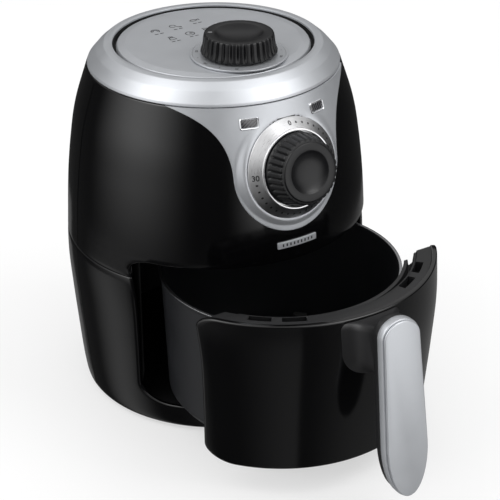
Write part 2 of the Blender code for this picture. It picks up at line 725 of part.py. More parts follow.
def vent_pocket(side, low_deg, high_deg):
    outer = arc_points(0, 0, SLOT_OUTER_RADIUS, low_deg - 90, high_deg - 90, 3)
    inner = arc_points(0, 0, SLOT_INNER_RADIUS, low_deg - 90, high_deg - 90, 3)
    outline = [(side * x, y) for x, y in outer + inner[::-1]]
    return prism_z(outline, POCKET_FLOOR_Z, 134)


def build_rivets(frame, steel):
    shank = [
        (0, 76.6), (3.4, 77.2), (3.4, 78.3), (1.9, 78.3), (1.9, 86.0), (3.2, 86.0), (3.2, 87.2),
        (0, 87.2),
    ]
    for side, word in ((-1, "left"), (1, "right")):
        piece(f"pan_rivet_{word}", rivet_body(side, shank), steel, frame)
    screw = [(0, 98.4), (3.4, 98.4), (3.4, 100.8), (1.6, 100.8), (1.6, 116.0), (0, 116.0)]
    for i, z in enumerate(HANDLE_SCREW_ZS):
        piece(f"handle_screw_{i + 1}", forward(lathe(screw, 12), z), steel, frame)


def handle_reach(z):
    """How far forward of the fryer's axis the handle's face stands at a height."""
    return HANDLE_TOP_REACH + (HANDLE_TOP_Z - z) * HANDLE_LEAN


def handle_outline(inset, steps):
    """The handle seen from the front: round top, longer elliptical foot, straight sides."""
    top = HANDLE_TOP_Z - inset
    low = HANDLE_LOW_Z + inset
    half_top = HANDLE_TOP_HALF_WIDTH - inset
    half_low = HANDLE_LOW_HALF_WIDTH - inset
    top_centre = HANDLE_TOP_Z - HANDLE_TOP_ROUNDING
    low_centre = HANDLE_LOW_Z + HANDLE_LOW_ROUNDING
    turns = [(math.cos(a), math.sin(a)) for a in spaced(0, math.pi, steps)]
    crown = [(half_top * c, top_centre + (top - top_centre) * s) for c, s in turns]
    foot = [(-half_low * c, low_centre - (low_centre - low) * s) for c, s in turns]
    return crown + foot


def handle_ring(inset, depth, steps):
    return [(x, -handle_reach(z) + depth, z) for x, z in handle_outline(inset, steps)]


def build_handle(frame, plastic, silver):
    cover = ((COVER_EDGE, 0.0), (0.5, 0.5), (0.0, COVER_EDGE), (0.0, COVER_DEPTH))
    piece("handle_cover", loft([handle_ring(*row, 12) for row in cover]), silver, frame)
    back = COVER_DEPTH + GRIP_DEPTH
    grip = ((0.8, COVER_DEPTH + GAP), (0.8, back - 2), (3.0, back))
    body = piece("handle_body", loft([handle_ring(*row, 12) for row in grip]), plastic, frame)
    join(body, handle_arm())
    cut(body, solid_body(GAP, 80, 150, 5))
    for z in HANDLE_SCREW_ZS:
        cut(body, forward(cylinder(1.9, 100, 117.5, steps=12), z))


def handle_arm():
    """The arm flares where it meets the panel and is round underneath.

    Each station is how far forward it stands, its half width, its bottom and its top.
    """
    stations = (
        (98.0, 27.0, 86.0, 129.6), (104.6, 21.5, 88.5, 130.2), (108.0, 17.0, 91.0, 131.0),
        (113.0, 14.4, 94.0, 132.0), (126.0, 13.2, 97.0, 136.0),
    )
    bevel = 5.0
    rings = []
    for reach, half, low, top in stations:
        section = [(half, top - bevel), (half - bevel, top), (bevel - half, top), (-half, top - bevel)]
        section += arc_points(0, low + half, half, 180, 360, 10)
        rings.append([(x, -reach, z) for x, z in section])
    return loft(rings)


def build_all():
    clear_scene()
    black = material("gloss_black", (0.012, 0.012, 0.014), 0.12)
    satin_black = material("satin_black", (0.02, 0.02, 0.022), 0.42)
    silver = material("silver_paint", (0.55, 0.57, 0.60), 0.32, 0.85)
    aluminium = material("brushed_aluminium", (0.78, 0.78, 0.80), 0.28, 1.0)
    chrome = material("bright_trim", (0.8, 0.8, 0.82), 0.12, 1.0)
    steel = material("sheet_steel", (0.6, 0.6, 0.6), 0.35, 1.0)
    coated = material("non_stick_coating", (0.03, 0.03, 0.032), 0.45, 0.2)
    rubber = material("black_rubber", (0.02, 0.02, 0.02), 0.8)
    smoked = material("smoked_lens", (0.05, 0.03, 0.03), 0.1)
    dark = material("dark_phenolic", (0.05, 0.04, 0.035), 0.6)

    body = frame_empty("fryer_axis", (0, BODY_AXIS_Y, 0))
    drawer = frame_empty("drawer_slide", (0, BODY_AXIS_Y - DRAWER_OUT, 0))
    dial_y = BODY_AXIS_Y - DIAL_SEAT_DEPTH
    timer = frame_empty("timer_axis", (0, dial_y, DIAL_Z), 90 - DIAL_TILT_DEG)

    build_lower_housing(body, black)
    build_bottom(body, satin_black, rubber, steel)
    build_upper_housing(body, black)
    build_rear(body, satin_black, rubber)
    build_top(body, silver)
    build_control_panel(body, silver)
    build_indicators(body, chrome, smoked, dark)
    build_badge(body, silver)
    build_liner(body, steel)
    build_roof(body, steel)
    build_heater(body, steel)
    build_fan(body, steel, satin_black)
    build_motor(body, steel, dark)
    build_temperature_control(body, silver, satin_black, steel)
    build_timer_control(timer, aluminium, satin_black, steel)
    build_controls_inside(body, steel, dark)
    build_pan(drawer, coated)
    build_tray(drawer, coated, rubber)
    build_front_panel(drawer, black)
    build_bracket(drawer, satin_black)
    build_rivets(drawer, steel)
    build_handle(drawer, satin_black, silver)


build_all()
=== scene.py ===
import json
import math

import bmesh
import bpy
from mathutils import Matrix, Vector


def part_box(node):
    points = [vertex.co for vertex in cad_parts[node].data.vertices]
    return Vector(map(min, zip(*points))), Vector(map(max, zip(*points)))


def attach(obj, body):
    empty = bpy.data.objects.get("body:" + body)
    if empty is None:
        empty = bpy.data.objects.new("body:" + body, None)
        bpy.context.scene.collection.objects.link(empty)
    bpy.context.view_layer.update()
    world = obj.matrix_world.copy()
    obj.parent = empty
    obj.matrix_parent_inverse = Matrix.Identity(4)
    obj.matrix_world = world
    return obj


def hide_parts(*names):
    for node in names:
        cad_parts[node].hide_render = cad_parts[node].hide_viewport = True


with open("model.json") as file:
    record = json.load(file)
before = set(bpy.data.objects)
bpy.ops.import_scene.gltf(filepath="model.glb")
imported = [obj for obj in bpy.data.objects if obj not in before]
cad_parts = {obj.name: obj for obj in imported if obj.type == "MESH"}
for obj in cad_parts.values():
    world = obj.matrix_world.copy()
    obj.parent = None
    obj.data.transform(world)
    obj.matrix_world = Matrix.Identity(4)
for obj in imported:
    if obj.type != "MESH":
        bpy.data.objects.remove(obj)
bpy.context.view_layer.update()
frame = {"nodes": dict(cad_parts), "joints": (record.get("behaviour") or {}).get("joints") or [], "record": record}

# Meshes are made in millimetres, about the axis that each piece belongs to, and scaled to metres.
MM = 0.001
AROUND = 144
WALL = 2.5
SEAM_Z = 118.4
RING_Z = 239.5
SEAM_GAP = 0.3
REAR_SEAM_DEG = 96.0
BODY_PROFILE = (
    (2.0, 95.8), (3.4, 97.4), (12.0, 99.0), (25.0, 100.4), (45.0, 102.1), (70.0, 104.1),
    (103.0, 106.0), (133.0, 104.8), (160.0, 103.0), (185.0, 100.1), (210.0, 95.7), (239.5, 86.3),
)
OPENING_FLOOR_Z = 20.0
OPENING_TOP_Z = 132.6
OPENING_HALF_WIDTH_LOW = 89.8
OPENING_HALF_WIDTH_TOP = 95.6
OPENING_LOW_CORNER = 14.0
OPENING_TOP_CORNER = 9.0
LID_Z = 252.6
DIAL_RADIUS = 33.5
DIAL_LIP_RADIUS = 25.1
DIAL_LIP_HEIGHT = 8.0
DIAL_SEAT_DEPTH = 96.6
DIAL_Z = 195.9
DIAL_TILT = math.radians(12.7)
SHIELD_RADIUS = 40.5
SHIELD_Z = 194.0
SHIELD_SHOULDER = ((40.5, 194.0), (40.5, 222.0), (52.0, 234.0), (76.0, 242.0))
KNOB_RIBS = 32
HANDLE_TOP_Z = 141.7
HANDLE_LOW_Z = 20.4
HANDLE_TOP_REACH = 135.1
HANDLE_LOW_REACH = 152.5
HANDLE_LEAN = (HANDLE_LOW_REACH - HANDLE_TOP_REACH) / (HANDLE_TOP_Z - HANDLE_LOW_Z)
HANDLE_TOP_HALF_WIDTH = 14.2
HANDLE_LOW_HALF_WIDTH = 16.3
REAR_GROOVE_HALF_DEG = 0.42
REAR_GROOVE_DEPTH = 0.9
GRILLE_Z = 173.0
GRILLE_LOW_SLOT_Z = 156.0
GRILLE_SLOT_PITCH = 8.5
GRILLE_SLOTS = 5
WINDOW_Z = 228.8
WINDOW_ANGLE_DEG = 16.6
WINDOW_WIDTH = 10.8
WINDOW_HEIGHT = 5.4
BADGE_Z = 145.0
BADGE_STUDS = 9
TIMER_MINUTES = 30
TIMER_DEG_PER_MINUTE = 9
TEMPERATURE_START_DEG = 235
TEMPERATURE_SWEEP_DEG = 280
TEMPERATURE_MARKS = 13
TEMPERATURE_SCALE_RADIUS = 28.3
POINTER_DEG = 149
POINTER_RADIUS = 19.0
LEDGE_TOP_Z = 130.6
LEDGE_POCKET_FLOOR_Z = 123.4
PLATE_HOLE_RADIUS = 3.2
PLATE_OUTER_HOLES_RADIUS = 60.0
BUMPER_CLEARANCE_DEG = 8

# Camera and light, in metres, degrees and watts
CAMERA_AZIMUTH_DEG = -32.0
CAMERA_ELEVATION_DEG = 28.39
CAMERA_ROLL_DEG = -0.30
CAMERA_DISTANCE = 1.14804
CAMERA_RIGHT = 0.02419
CAMERA_DOWN = 0.03440
CAMERA_AIM_Z = 0.130
CAMERA_LENS_MM = 116.08
CAMERA_SENSOR_MM = 36.0
SOFTBOXES = (("left_softbox", -101, 50, 3.4), ("right_softbox", 42, 48, 4.4))
SOFTBOX_SIZE = 0.7
SOFTBOX_DISTANCE = 1.3
SOFTBOX_AIM_Z = 0.24
AMBIENT_STRENGTH = 0.85
BACKDROP_STRENGTH = 1.0
ROOM_STRENGTH = 0.035
FLOOR_HALF_WIDTH = 12.0
FLOOR_DROP_MM = 0.3
FLOOR_BASE = 0.45
FLOOR_GLOW = 0.56


# Frames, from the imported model

def centre_y(node):
    low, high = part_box(node)
    return (low.y + high.y) / 2


def joint_frame(name):
    joint = next(j for j in frame["joints"] if j["name"] == name)
    x, y, z = joint["axis"]
    return Matrix.Translation(joint["pos_m"]) @ Matrix.Rotation(math.atan2(-y, z), 4, "X")


BODY = Matrix.Translation((0, centre_y("top_lid"), 0))
DRAWER = Matrix.Translation((0, centre_y("crisper_plate"), 0))
TIMER = joint_frame("timer_turn")
TEMPERATURE = joint_frame("temperature_turn")


# Materials

class Nodes:
    """A node tree with a few short calls."""

    def __init__(self, tree):
        self.tree = tree

    def add(self, kind, links=(), **values):
        node = self.tree.nodes.new(kind)
        for key, value in values.items():
            if key in node.inputs:
                node.inputs[key].default_value = value
            else:
                setattr(node, key, value)
        for socket, source in dict(links).items():
            self.tree.links.new(source, node.inputs[socket])
        return node

    def math(self, operation, first, second):
        node = self.tree.nodes.new("ShaderNodeMath")
        node.operation = operation
        for socket, value in zip(node.inputs, (first, second)):
            if isinstance(value, (int, float)):
                socket.default_value = value
            else:
                self.tree.links.new(value, socket)
        return node.outputs[0]

    def span(self, source, low, high):
        node = self.add("ShaderNodeMapRange", {"Value": source})
        node.inputs["From Min"].default_value = 0.3
        node.inputs["From Max"].default_value = 0.7
        node.inputs["To Min"].default_value = low
        node.inputs["To Max"].default_value = high
        return node.outputs[0]

    def blend(self, factor, first, second):
        node = self.add("ShaderNodeMix", data_type="RGBA")
        self.tree.links.new(factor, node.inputs["Factor"])
        node.inputs["A"].default_value = (*first, 1.0)
        node.inputs["B"].default_value = (*second, 1.0)
        return node.outputs["Result"]


def finish_of(name, dark, light, rough, metallic=0.0, grain=900.0, bump=0.0, bump_scale=None,
              bump_mm=0.05, sockets=(), polar=False):
    """A surface whose colour and roughness drift with a fine grain, over a soft large mottle."""
    material = bpy.data.materials.new(name)
    material.use_nodes = True
    shader = material.node_tree.nodes["Principled BSDF"]
    n = Nodes(material.node_tree)
    place = n.add("ShaderNodeTexCoord").outputs["Object"]
    if polar:
        place = polar_place(n, place)
    fine = n.add("ShaderNodeTexNoise", {"Vector": place}, Scale=grain, Detail=4.0)
    broad = n.add("ShaderNodeTexNoise", {"Vector": place}, Scale=grain / 60, Detail=2.0)
    mixed = n.math("ADD", n.math("MULTIPLY", fine.outputs["Fac"], 0.65),
                   n.math("MULTIPLY", broad.outputs["Fac"], 0.35))
    n.tree.links.new(n.blend(mixed, dark, light), shader.inputs["Base Color"])
    n.tree.links.new(n.span(mixed, *rough), shader.inputs["Roughness"])
    shader.inputs["Metallic"].default_value = metallic
    for socket, value in dict(sockets).items():
        shader.inputs[socket].default_value = value
    if bump:
        relief = n.add("ShaderNodeTexNoise", {"Vector": place}, Scale=bump_scale or grain, Detail=3.0)
        lift = n.add("ShaderNodeBump", {"Height": relief.outputs["Fac"]}, Strength=bump,
                     Distance=bump_mm * MM)
        n.tree.links.new(lift.outputs["Normal"], shader.inputs["Normal"])
    return material


def polar_place(n, place):
    """Coordinates that run round the object's own axis, so that the grain becomes circular brushing."""
    split = n.add("ShaderNodeSeparateXYZ", {"Vector": place})
    across, along = (n.math("POWER", split.outputs[axis], 2.0) for axis in ("X", "Y"))
    squares = n.math("ADD", across, along)
    angle = n.math("ARCTAN2", split.outputs["Y"], split.outputs["X"])
    joined = n.add("ShaderNodeCombineXYZ")
    n.tree.links.new(n.math("SQRT", squares, 0.0), joined.inputs["X"])
    n.tree.links.new(n.math("MULTIPLY", angle, 0.002), joined.inputs["Y"])
    return joined.outputs["Vector"]


def lens_finish():
    """Smoked plastic over slanting ribs."""
    material = bpy.data.materials.new("smoked_lens")
    material.use_nodes = True
    shader = material.node_tree.nodes["Principled BSDF"]
    n = Nodes(material.node_tree)
    place = n.add("ShaderNodeTexCoord").outputs["Object"]
    turned = n.add("ShaderNodeMapping", {"Vector": place})
    turned.inputs["Rotation"].default_value = (0, 0, math.radians(50))
    ribs = n.add("ShaderNodeTexWave", {"Vector": turned.outputs["Vector"]}, Scale=190.0)
    colour = n.blend(ribs.outputs["Fac"], (0.010, 0.010, 0.012), (0.07, 0.07, 0.075))
    n.tree.links.new(colour, shader.inputs["Base Color"])
    n.tree.links.new(n.span(ribs.outputs["Fac"], 0.12, 0.3), shader.inputs["Roughness"])
    shader.inputs["Coat Weight"].default_value = 0.6
    return material


GLOSS_BLACK = finish_of("gloss_black", (0.0010, 0.0010, 0.0012), (0.0022, 0.0022, 0.0025), (0.10, 0.17),
                        grain=500.0, bump=0.15, bump_scale=160.0, bump_mm=0.01)
SATIN_BLACK = finish_of("satin_black", (0.006, 0.006, 0.0065), (0.014, 0.014, 0.015), (0.36, 0.48),
                        grain=2600.0, bump=0.35, bump_mm=0.04)
KNOB_BLACK = finish_of("knob_black", (0.003, 0.003, 0.0035), (0.008, 0.008, 0.009), (0.26, 0.40),
                       grain=2200.0, bump=0.4, bump_mm=0.05, sockets={"Specular IOR Level": 0.32})
SILVER = finish_of("silver_paint", (0.43, 0.445, 0.47), (0.57, 0.585, 0.61), (0.36, 0.46), metallic=0.62,
                   grain=3800.0, bump=0.12, bump_mm=0.015)
ALUMINIUM = finish_of("brushed_aluminium", (0.50, 0.50, 0.51), (0.86, 0.86, 0.87), (0.22, 0.40),
                      metallic=1.0, grain=2600.0, bump=0.25, bump_mm=0.02, polar=True,
                      sockets={"Anisotropic": 0.6})
CHROME = finish_of("bright_trim", (0.74, 0.75, 0.77), (0.84, 0.85, 0.87), (0.06, 0.14), metallic=1.0)
NON_STICK = finish_of("non_stick", (0.008, 0.0085, 0.010), (0.020, 0.021, 0.024), (0.34, 0.46),
                      metallic=0.25, grain=2800.0, bump=0.3, bump_mm=0.03)
RIM_METAL = finish_of("rim_metal", (0.34, 0.34, 0.35), (0.52, 0.52, 0.54), (0.18, 0.28), metallic=1.0)
# Near-black and dull, darker than the other blacks: painted shade, for the shaded inside of the housing and the
# gap round the lid.
SHADE_BLACK = finish_of("painted_shade_black", (0.0015, 0.0015, 0.0016), (0.004, 0.004, 0.0045), (0.5, 0.65),
                       grain=1200.0, bump=0.2, bump_mm=0.03, sockets={"Specular IOR Level": 0.25})
STEEL = finish_of("sheet_steel", (0.36, 0.36, 0.37), (0.56, 0.56, 0.57), (0.26, 0.42), metallic=1.0,
                  grain=700.0, bump=0.15, bump_mm=0.02)
HEATER_STEEL = finish_of("heater_steel", (0.10, 0.09, 0.085), (0.20, 0.185, 0.17), (0.35, 0.55),
                         metallic=0.9, grain=900.0)
RUBBER = finish_of("rubber", (0.012, 0.012, 0.012), (0.028, 0.028, 0.028), (0.65, 0.85), grain=1800.0,
                   bump=0.3)
PHENOLIC = finish_of("phenolic", (0.035, 0.026, 0.022), (0.07, 0.055, 0.045), (0.5, 0.65), grain=1500.0,
                     bump=0.2)
PRINT = finish_of("print_ink", (0.006, 0.006, 0.007), (0.014, 0.014, 0.016), (0.4, 0.5))
PALE_PRINT = finish_of("pale_ink", (0.30, 0.30, 0.31), (0.42, 0.42, 0.43), (0.4, 0.5))
LENS = lens_finish()


# Outlines and surfaces

def spaced(low, high, count):
    return [low + (high - low) * i / (count - 1) for i in range(count)]


def body_radius(z):
    """Outer radius of the housing at a height: a cubic curve through BODY_PROFILE."""
    points = BODY_PROFILE
    z = min(max(z, points[0][0]), points[-1][0])
    i = max(k for k in range(len(points) - 1) if points[k][0] <= z)

    def slope(k):
        low = points[max(k - 1, 0)]
        high = points[min(k + 1, len(points) - 1)]
        return (high[1] - low[1]) / (high[0] - low[0])

    (z0, r0), (z1, r1) = points[i], points[i + 1]
    h = z1 - z0
    t = (z - z0) / h
    blend0 = (1 + 2 * t) * (1 - t) ** 2
    blend1 = t * t * (3 - 2 * t)
    lean0 = t * (1 - t) ** 2 * h
    lean1 = t * t * (t - 1) * h
    return blend0 * r0 + blend1 * r1 + lean0 * slope(i) + lean1 * slope(i + 1)


def around(angle, z, depth):
    """A point of the housing, by its angle from the front, its height and its depth in the wall."""
    r = body_radius(z) - depth
    return (r * math.sin(angle), -r * math.cos(angle), z)


def on_body(x, z, depth):
    return around(math.asin(x / body_radius(z)), z, depth)


def arc(cx, cy, radius, start_deg, end_deg, steps):
    angles = [math.radians(a) for a in spaced(start_deg, end_deg, steps + 1)]
    return [(cx + radius * math.cos(a), cy + radius * math.sin(a)) for a in angles]


def softened(points, steps=4):
    """A run of (x, y, fillet) points with each corner turned into an arc of its own fillet."""
    run = []
    for i, point in enumerate(points):
        here = Vector(point[:2])
        fillet = point[2] if len(point) > 2 else 0.0
        if fillet == 0.0 or i in (0, len(points) - 1):
            run.append(tuple(here))
            continue
        before = (Vector(points[i - 1][:2]) - here).normalized()
        after = (Vector(points[i + 1][:2]) - here).normalized()
        half = before.angle(after) / 2
        centre = here + (before + after).normalized() * (fillet / math.sin(half))
        start = here + before * (fillet / math.tan(half)) - centre
        turn = start.angle_signed(here + after * (fillet / math.tan(half)) - centre)
        for k in range(steps + 1):
            spoke = start.copy()
            spoke.rotate(Matrix.Rotation(-turn * k / steps, 2))
            run.append(tuple(centre + spoke))
    return run


def bezier(points, t):
    weights = ((1 - t) ** 3, 3 * t * (1 - t) ** 2, 3 * t * t * (1 - t), t ** 3)
    return tuple(sum(w * p[axis] for w, p in zip(weights, points)) for axis in (0, 1))


def rounded_box(width, height, corner, steps=5):
    x = width / 2 - corner
    y = height / 2 - corner
    outline = []
    for k, (cx, cy) in enumerate(((x, y), (-x, y), (-x, -y), (x, -y))):
        outline += arc(cx, cy, corner, 90 * k, 90 * k + 90, steps)
    return outline


# Mesh making

def skin(bm, rows, closed=True):
    """Faces between rows of points that all have the same count."""
    made = [[bm.verts.new(p) for p in row] for row in rows]
    count = len(made[0])
    for low, high in zip(made, made[1:]):
        for i in range(count if closed else count - 1):
            j = (i + 1) % count
            bm.faces.new((low[i], low[j], high[j], high[i]))
    return made


def tidy(bm):
    bmesh.ops.remove_doubles(bm, verts=bm.verts, dist=1e-4)
    bmesh.ops.dissolve_degenerate(bm, edges=bm.edges, dist=1e-4)
    bmesh.ops.recalc_face_normals(bm, faces=bm.faces)
    return bm


def lathe(profile, steps=AROUND, closed_profile=True):
    bm = bmesh.new()
    points = list(profile)
    if closed_profile and points[0][0] > 0:
        points.append(points[0])
    rows = [[(r * math.cos(a), r * math.sin(a), z) for a in spaced(0, 2 * math.pi, steps + 1)[:-1]]
            for r, z in points]
    skin(bm, rows)
    return tidy(bm)


def loft(rings, loop=False):
    """A closed skin over rings of points: capped at both ends, or joined end to end as a loop."""
    bm = bmesh.new()
    rows = skin(bm, rings + [rings[0]] if loop else rings)
    if not loop:
        bm.faces.new(rows[0])
        bm.faces.new(rows[-1])
    return tidy(bm)


def prism(outline, low, high, place=lambda x, y, depth: (x, y, depth)):
    return loft([[place(x, y, depth) for x, y in outline] for depth in (low, high)])


def facing_front(x, z, depth):
    return (x, depth, z)


def merged(*meshes):
    whole = bmesh.new()
    for bm in meshes:
        part = bpy.data.meshes.new("part")
        bm.to_mesh(part)
        bm.free()
        whole.from_mesh(part)
        bpy.data.meshes.remove(part)
    return whole


def boolean(bm, other, operation):
    """The two meshes combined with an exact Boolean, as a new mesh."""
    pair = []
    for mesh_source in (bm, other):
        mesh = bpy.data.meshes.new("boolean")
        mesh_source.to_mesh(mesh)
        mesh_source.free()
        obj = bpy.data.objects.new("boolean", mesh)
        bpy.context.scene.collection.objects.link(obj)
        pair.append(obj)
    modifier = pair[0].modifiers.new("cut", "BOOLEAN")
    modifier.operation = operation
    modifier.solver = "EXACT"
    modifier.object = pair[1]
    graph = bpy.context.evaluated_depsgraph_get()
    made = bmesh.new()
    made.from_mesh(bpy.data.meshes.new_from_object(pair[0].evaluated_get(graph)))
    for obj in pair:
        bpy.data.objects.remove(obj, do_unlink=True)
    return made


def piece(name, bm, material, body, place=BODY, stands_for=(), sharp=32):
    """A finished piece that rides on a body, from a mesh in millimetres about its own axis."""
    bm.transform(Matrix.Scale(MM, 4))
    mesh = bpy.data.meshes.new(name)
    bm.to_mesh(mesh)
    bm.free()
    mesh.shade_smooth()
    mesh.set_sharp_from_angle(angle=math.radians(sharp))
    mesh.materials.append(material)
    obj = bpy.data.objects.new(name, mesh)
    obj.matrix_world = place
    bpy.context.scene.collection.objects.link(obj)
    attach(obj, body)
    if stands_for:
        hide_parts(*stands_for)


# Housing

def side_x(z, outset):
    """The drawer opening's side at a height. It leans out a little as it rises."""
    lean = (OPENING_HALF_WIDTH_TOP - OPENING_HALF_WIDTH_LOW) / (OPENING_TOP_Z - OPENING_FLOOR_Z)
    return OPENING_HALF_WIDTH_LOW + (z - OPENING_FLOOR_Z) * lean + outset * math.hypot(1, lean)


SIDE_LEAN_DEG = math.degrees(math.atan2(OPENING_HALF_WIDTH_TOP - OPENING_HALF_WIDTH_LOW,
                                        OPENING_TOP_Z - OPENING_FLOOR_Z))


def low_corner(outset, steps=12):
    z = OPENING_FLOOR_Z + OPENING_LOW_CORNER
    x = side_x(z, -OPENING_LOW_CORNER)
    return arc(x, z, OPENING_LOW_CORNER + outset, -90, -SIDE_LEAN_DEG, steps)


def top_corner(outset, steps=12):
    z = OPENING_TOP_Z - OPENING_TOP_CORNER
    x = side_x(z, -OPENING_TOP_CORNER)
    return arc(x, z, OPENING_TOP_CORNER + outset, 90, -SIDE_LEAN_DEG, steps)


SEAM_STEPS = ((0.9, 0.0), (0.45, 0.1), (0.12, 0.4), (0.0, 0.8))


def opening_chain(corner, towards_seam, outset):
    """The opening's right side from its flat edge to the seam, as (angle, height, dip)."""
    run = [(x, z, 0.0) for x, z in corner]
    start = corner[-1][1]
    seam = SEAM_Z - towards_seam * SEAM_GAP / 2
    stop = seam - towards_seam * SEAM_STEPS[0][0]
    count = max(2, int(abs(stop - start) / 4))
    for z in spaced(start, stop, count + 1)[1:]:
        run.append((side_x(z, outset), z, 0.0))
    for back, dip in SEAM_STEPS[1:]:
        z = seam - towards_seam * back
        run.append((side_x(z, outset), z, dip))
    return [(math.asin(x / body_radius(z)), z, dip) for x, z, dip in run]


def columns(start):
    """Angles from the opening's side to the back, with a narrow groove where the rear shell begins."""
    seam = math.radians(REAR_SEAM_DEG)
    half = math.radians(REAR_GROOVE_HALF_DEG)
    run = [(a, 0.0) for a in spaced(start, seam - half, 15)]
    run += [(seam - half / 2, 0.7), (seam, REAR_GROOVE_DEPTH), (seam + half / 2, 0.7)]
    run += [(a, 0.0) for a in spaced(seam + half, math.pi, 30)]
    return run


def housing_shell(corner_of, towards_seam, heights, fillet=1.1, front_count=60):
    """A shell with the opening's rounded edge, its seams, and an inner face WALL behind."""
    bm = bmesh.new()
    turns = spaced(0.0, math.pi / 2, 5)
    rings = []
    for t in turns:
        outset = fillet * (1 - math.cos(t))
        depth = fillet * (1 - math.sin(t))
        chain = opening_chain(corner_of(outset), towards_seam, outset)
        first, z = chain[0][:2]
        right = [(a, z, depth + dip) for a, z, dip in chain]
        left = [(-a, z, d) for a, z, d in reversed(right)]
        front = [(a, z, depth) for a in spaced(-first, first, front_count + 1)[1:-1]]
        rings.append(left + front + right)
    chain = opening_chain(corner_of(fillet), towards_seam, fillet)
    sheets = [(rings, False)]
    sides = []
    for angle, z, dip in chain:
        right = [(a, z, max(dip, groove)) for a, groove in columns(angle)]
        left = [(2 * math.pi - a, z, d) for a, z, d in reversed(right[:-1])]
        sides.append(right + left)
    sheets.append((sides, False))
    first = chain[0][0]
    front = [(a, 0.0) for a in spaced(-first, first, front_count + 1)[1:-1]]
    ring = [(a, d) for a, z, d in sides[0]] + front
    edge_z = chain[0][1]
    full = [[(a, edge_z, d) for a, d in ring]]
    full += [[(a, z, max(d, dip)) for a, d in ring] for z, dip in heights]
    sheets.append((full, True))
    for rows, closed in sheets:
        skin(bm, [[around(*p) for p in row] for row in rows], closed)
    for rows, closed in sheets:
        skin(bm, [[around(a, z, WALL + 0.01) for a, z, d in row] for row in rows], closed)
    bmesh.ops.remove_doubles(bm, verts=bm.verts, dist=1e-3)
    close_walls(bm)
    return tidy(bm)


def close_walls(bm):
    """Bridges every open loop in one call. It joins the outer face's loops to the inner face's, and it
    also leaves one sheet inside the shell, from the loop at one end to the loop at the other."""
    bm.edges.ensure_lookup_table()
    open_edges = [e for e in bm.edges if e.is_boundary]
    bmesh.ops.bridge_loops(bm, edges=open_edges)


def grille_outline(width, height, corner):
    return [(x, z + GRILLE_Z) for x, z in rounded_box(width, height, corner)]


def build_housing():
    low_heights = [(z, 0.0) for z in (17.0, 14.5, 12.0, 9.5, 7.0, 5.0, 3.6, 2.8, 2.3, 2.0)]
    low = housing_shell(low_corner, 1, low_heights)
    piece("lower_housing_shell", low, GLOSS_BLACK, "root",
          stands_for=["base_housing"])
    top = RING_Z - SEAM_GAP
    high_heights = [(z, 0.0) for z in spaced(136.5, top - 1.0, 30)]
    high_heights += [(top - 0.5, 0.1), (top - 0.15, 0.35), (top, 0.7)]
    high = housing_shell(top_corner, -1, high_heights)
    rear_opening = prism(grille_outline(63.0, 45.0, 4.5), 60, 130, facing_front)
    high = boolean(high, rear_opening, "DIFFERENCE")
    piece("upper_housing_shell", high, GLOSS_BLACK, "root",
          stands_for=["upper_housing"])


def front_piece(chain_of, fillet, proud, wall, count, shape=on_body):
    """A piece that covers part of the front, from its right-hand outline, bottom to top."""
    bm = bmesh.new()

    def ring(inset, depth):
        right = chain_of(inset)
        left = [(-x, z) for x, z in reversed(right)]
        top = [(x, right[-1][1]) for x in spaced(right[-1][0], -right[-1][0], count + 1)[1:-1]]
        bottom = [(x, right[0][1]) for x in spaced(-right[0][0], right[0][0], count + 1)[1:-1]]
        return [shape(x, z, depth) for x, z in right + top + left + bottom]

    rings = [ring(0.0, wall)]
    for t in spaced(0.0, math.pi / 2, 6):
        rings.append(ring(fillet * (1 - math.cos(t)), fillet * (1 - math.sin(t)) - proud))
    skin(bm, rings)
    for inset, depth in ((fillet, -proud), (0.0, wall)):
        rows = [[shape(u, z, depth) for u in spaced(-x, x, count + 1)] for x, z in chain_of(inset)]
        skin(bm, rows, closed=False)
    return tidy(bm)


def panel_chain(inset):
    clearance = 0.8
    low = low_corner(-inset - clearance)
    top = list(reversed(top_corner(-inset - clearance)))
    middle = [(side_x(z, -inset - clearance), z) for z in spaced(low[-1][1], top[0][1], 26)[1:-1]]
    return low + middle + top


def shield_top_t():
    """Where along its curve the shield's shoulder meets the top ring, found by halving."""
    low, high = 0.5, 1.0
    for _ in range(30):
        middle = (low + high) / 2
        if bezier(SHIELD_SHOULDER, middle)[1] < RING_Z - SEAM_GAP:
            low = middle
        else:
            high = middle
    return low


def shield_chain(inset):
    chin = arc(0, SHIELD_Z, SHIELD_RADIUS - 0.4 - inset, -90, 0, 52)
    chin[0] = (0.0, chin[0][1])
    shoulder = [bezier(SHIELD_SHOULDER, t) for t in spaced(0.0, shield_top_t(), 42)[1:]]
    return chin + [(x - 0.4 - inset, z) for x, z in shoulder]


def shield_surface(x, z, depth):
    """The housing's curve, swelling forward to a flat seat under the timer dial."""
    px, py, pz = on_body(x, z, depth)
    across = math.hypot(x, (z - DIAL_Z) / math.cos(DIAL_TILT))
    seat_y = -DIAL_SEAT_DEPTH + (z - DIAL_Z) * math.tan(DIAL_TILT)
    t = min(max((SHIELD_RADIUS - 1.2 - across) / 5.0, 0.0), 1.0)
    share = t * t * (3 - 2 * t)
    if depth < 0.5:
        py += (min(py, seat_y) - py) * share
        if across < DIAL_RADIUS + 0.4:
            py = max(py, seat_y)
    return (px, py, pz)


def build_control_panel():
    panel = front_piece(shield_chain, 0.5, 0.4, 1.5, 110, shield_surface)
    piece("control_panel_face", panel, SILVER, "root", stands_for=["control_panel"],
          sharp=50)


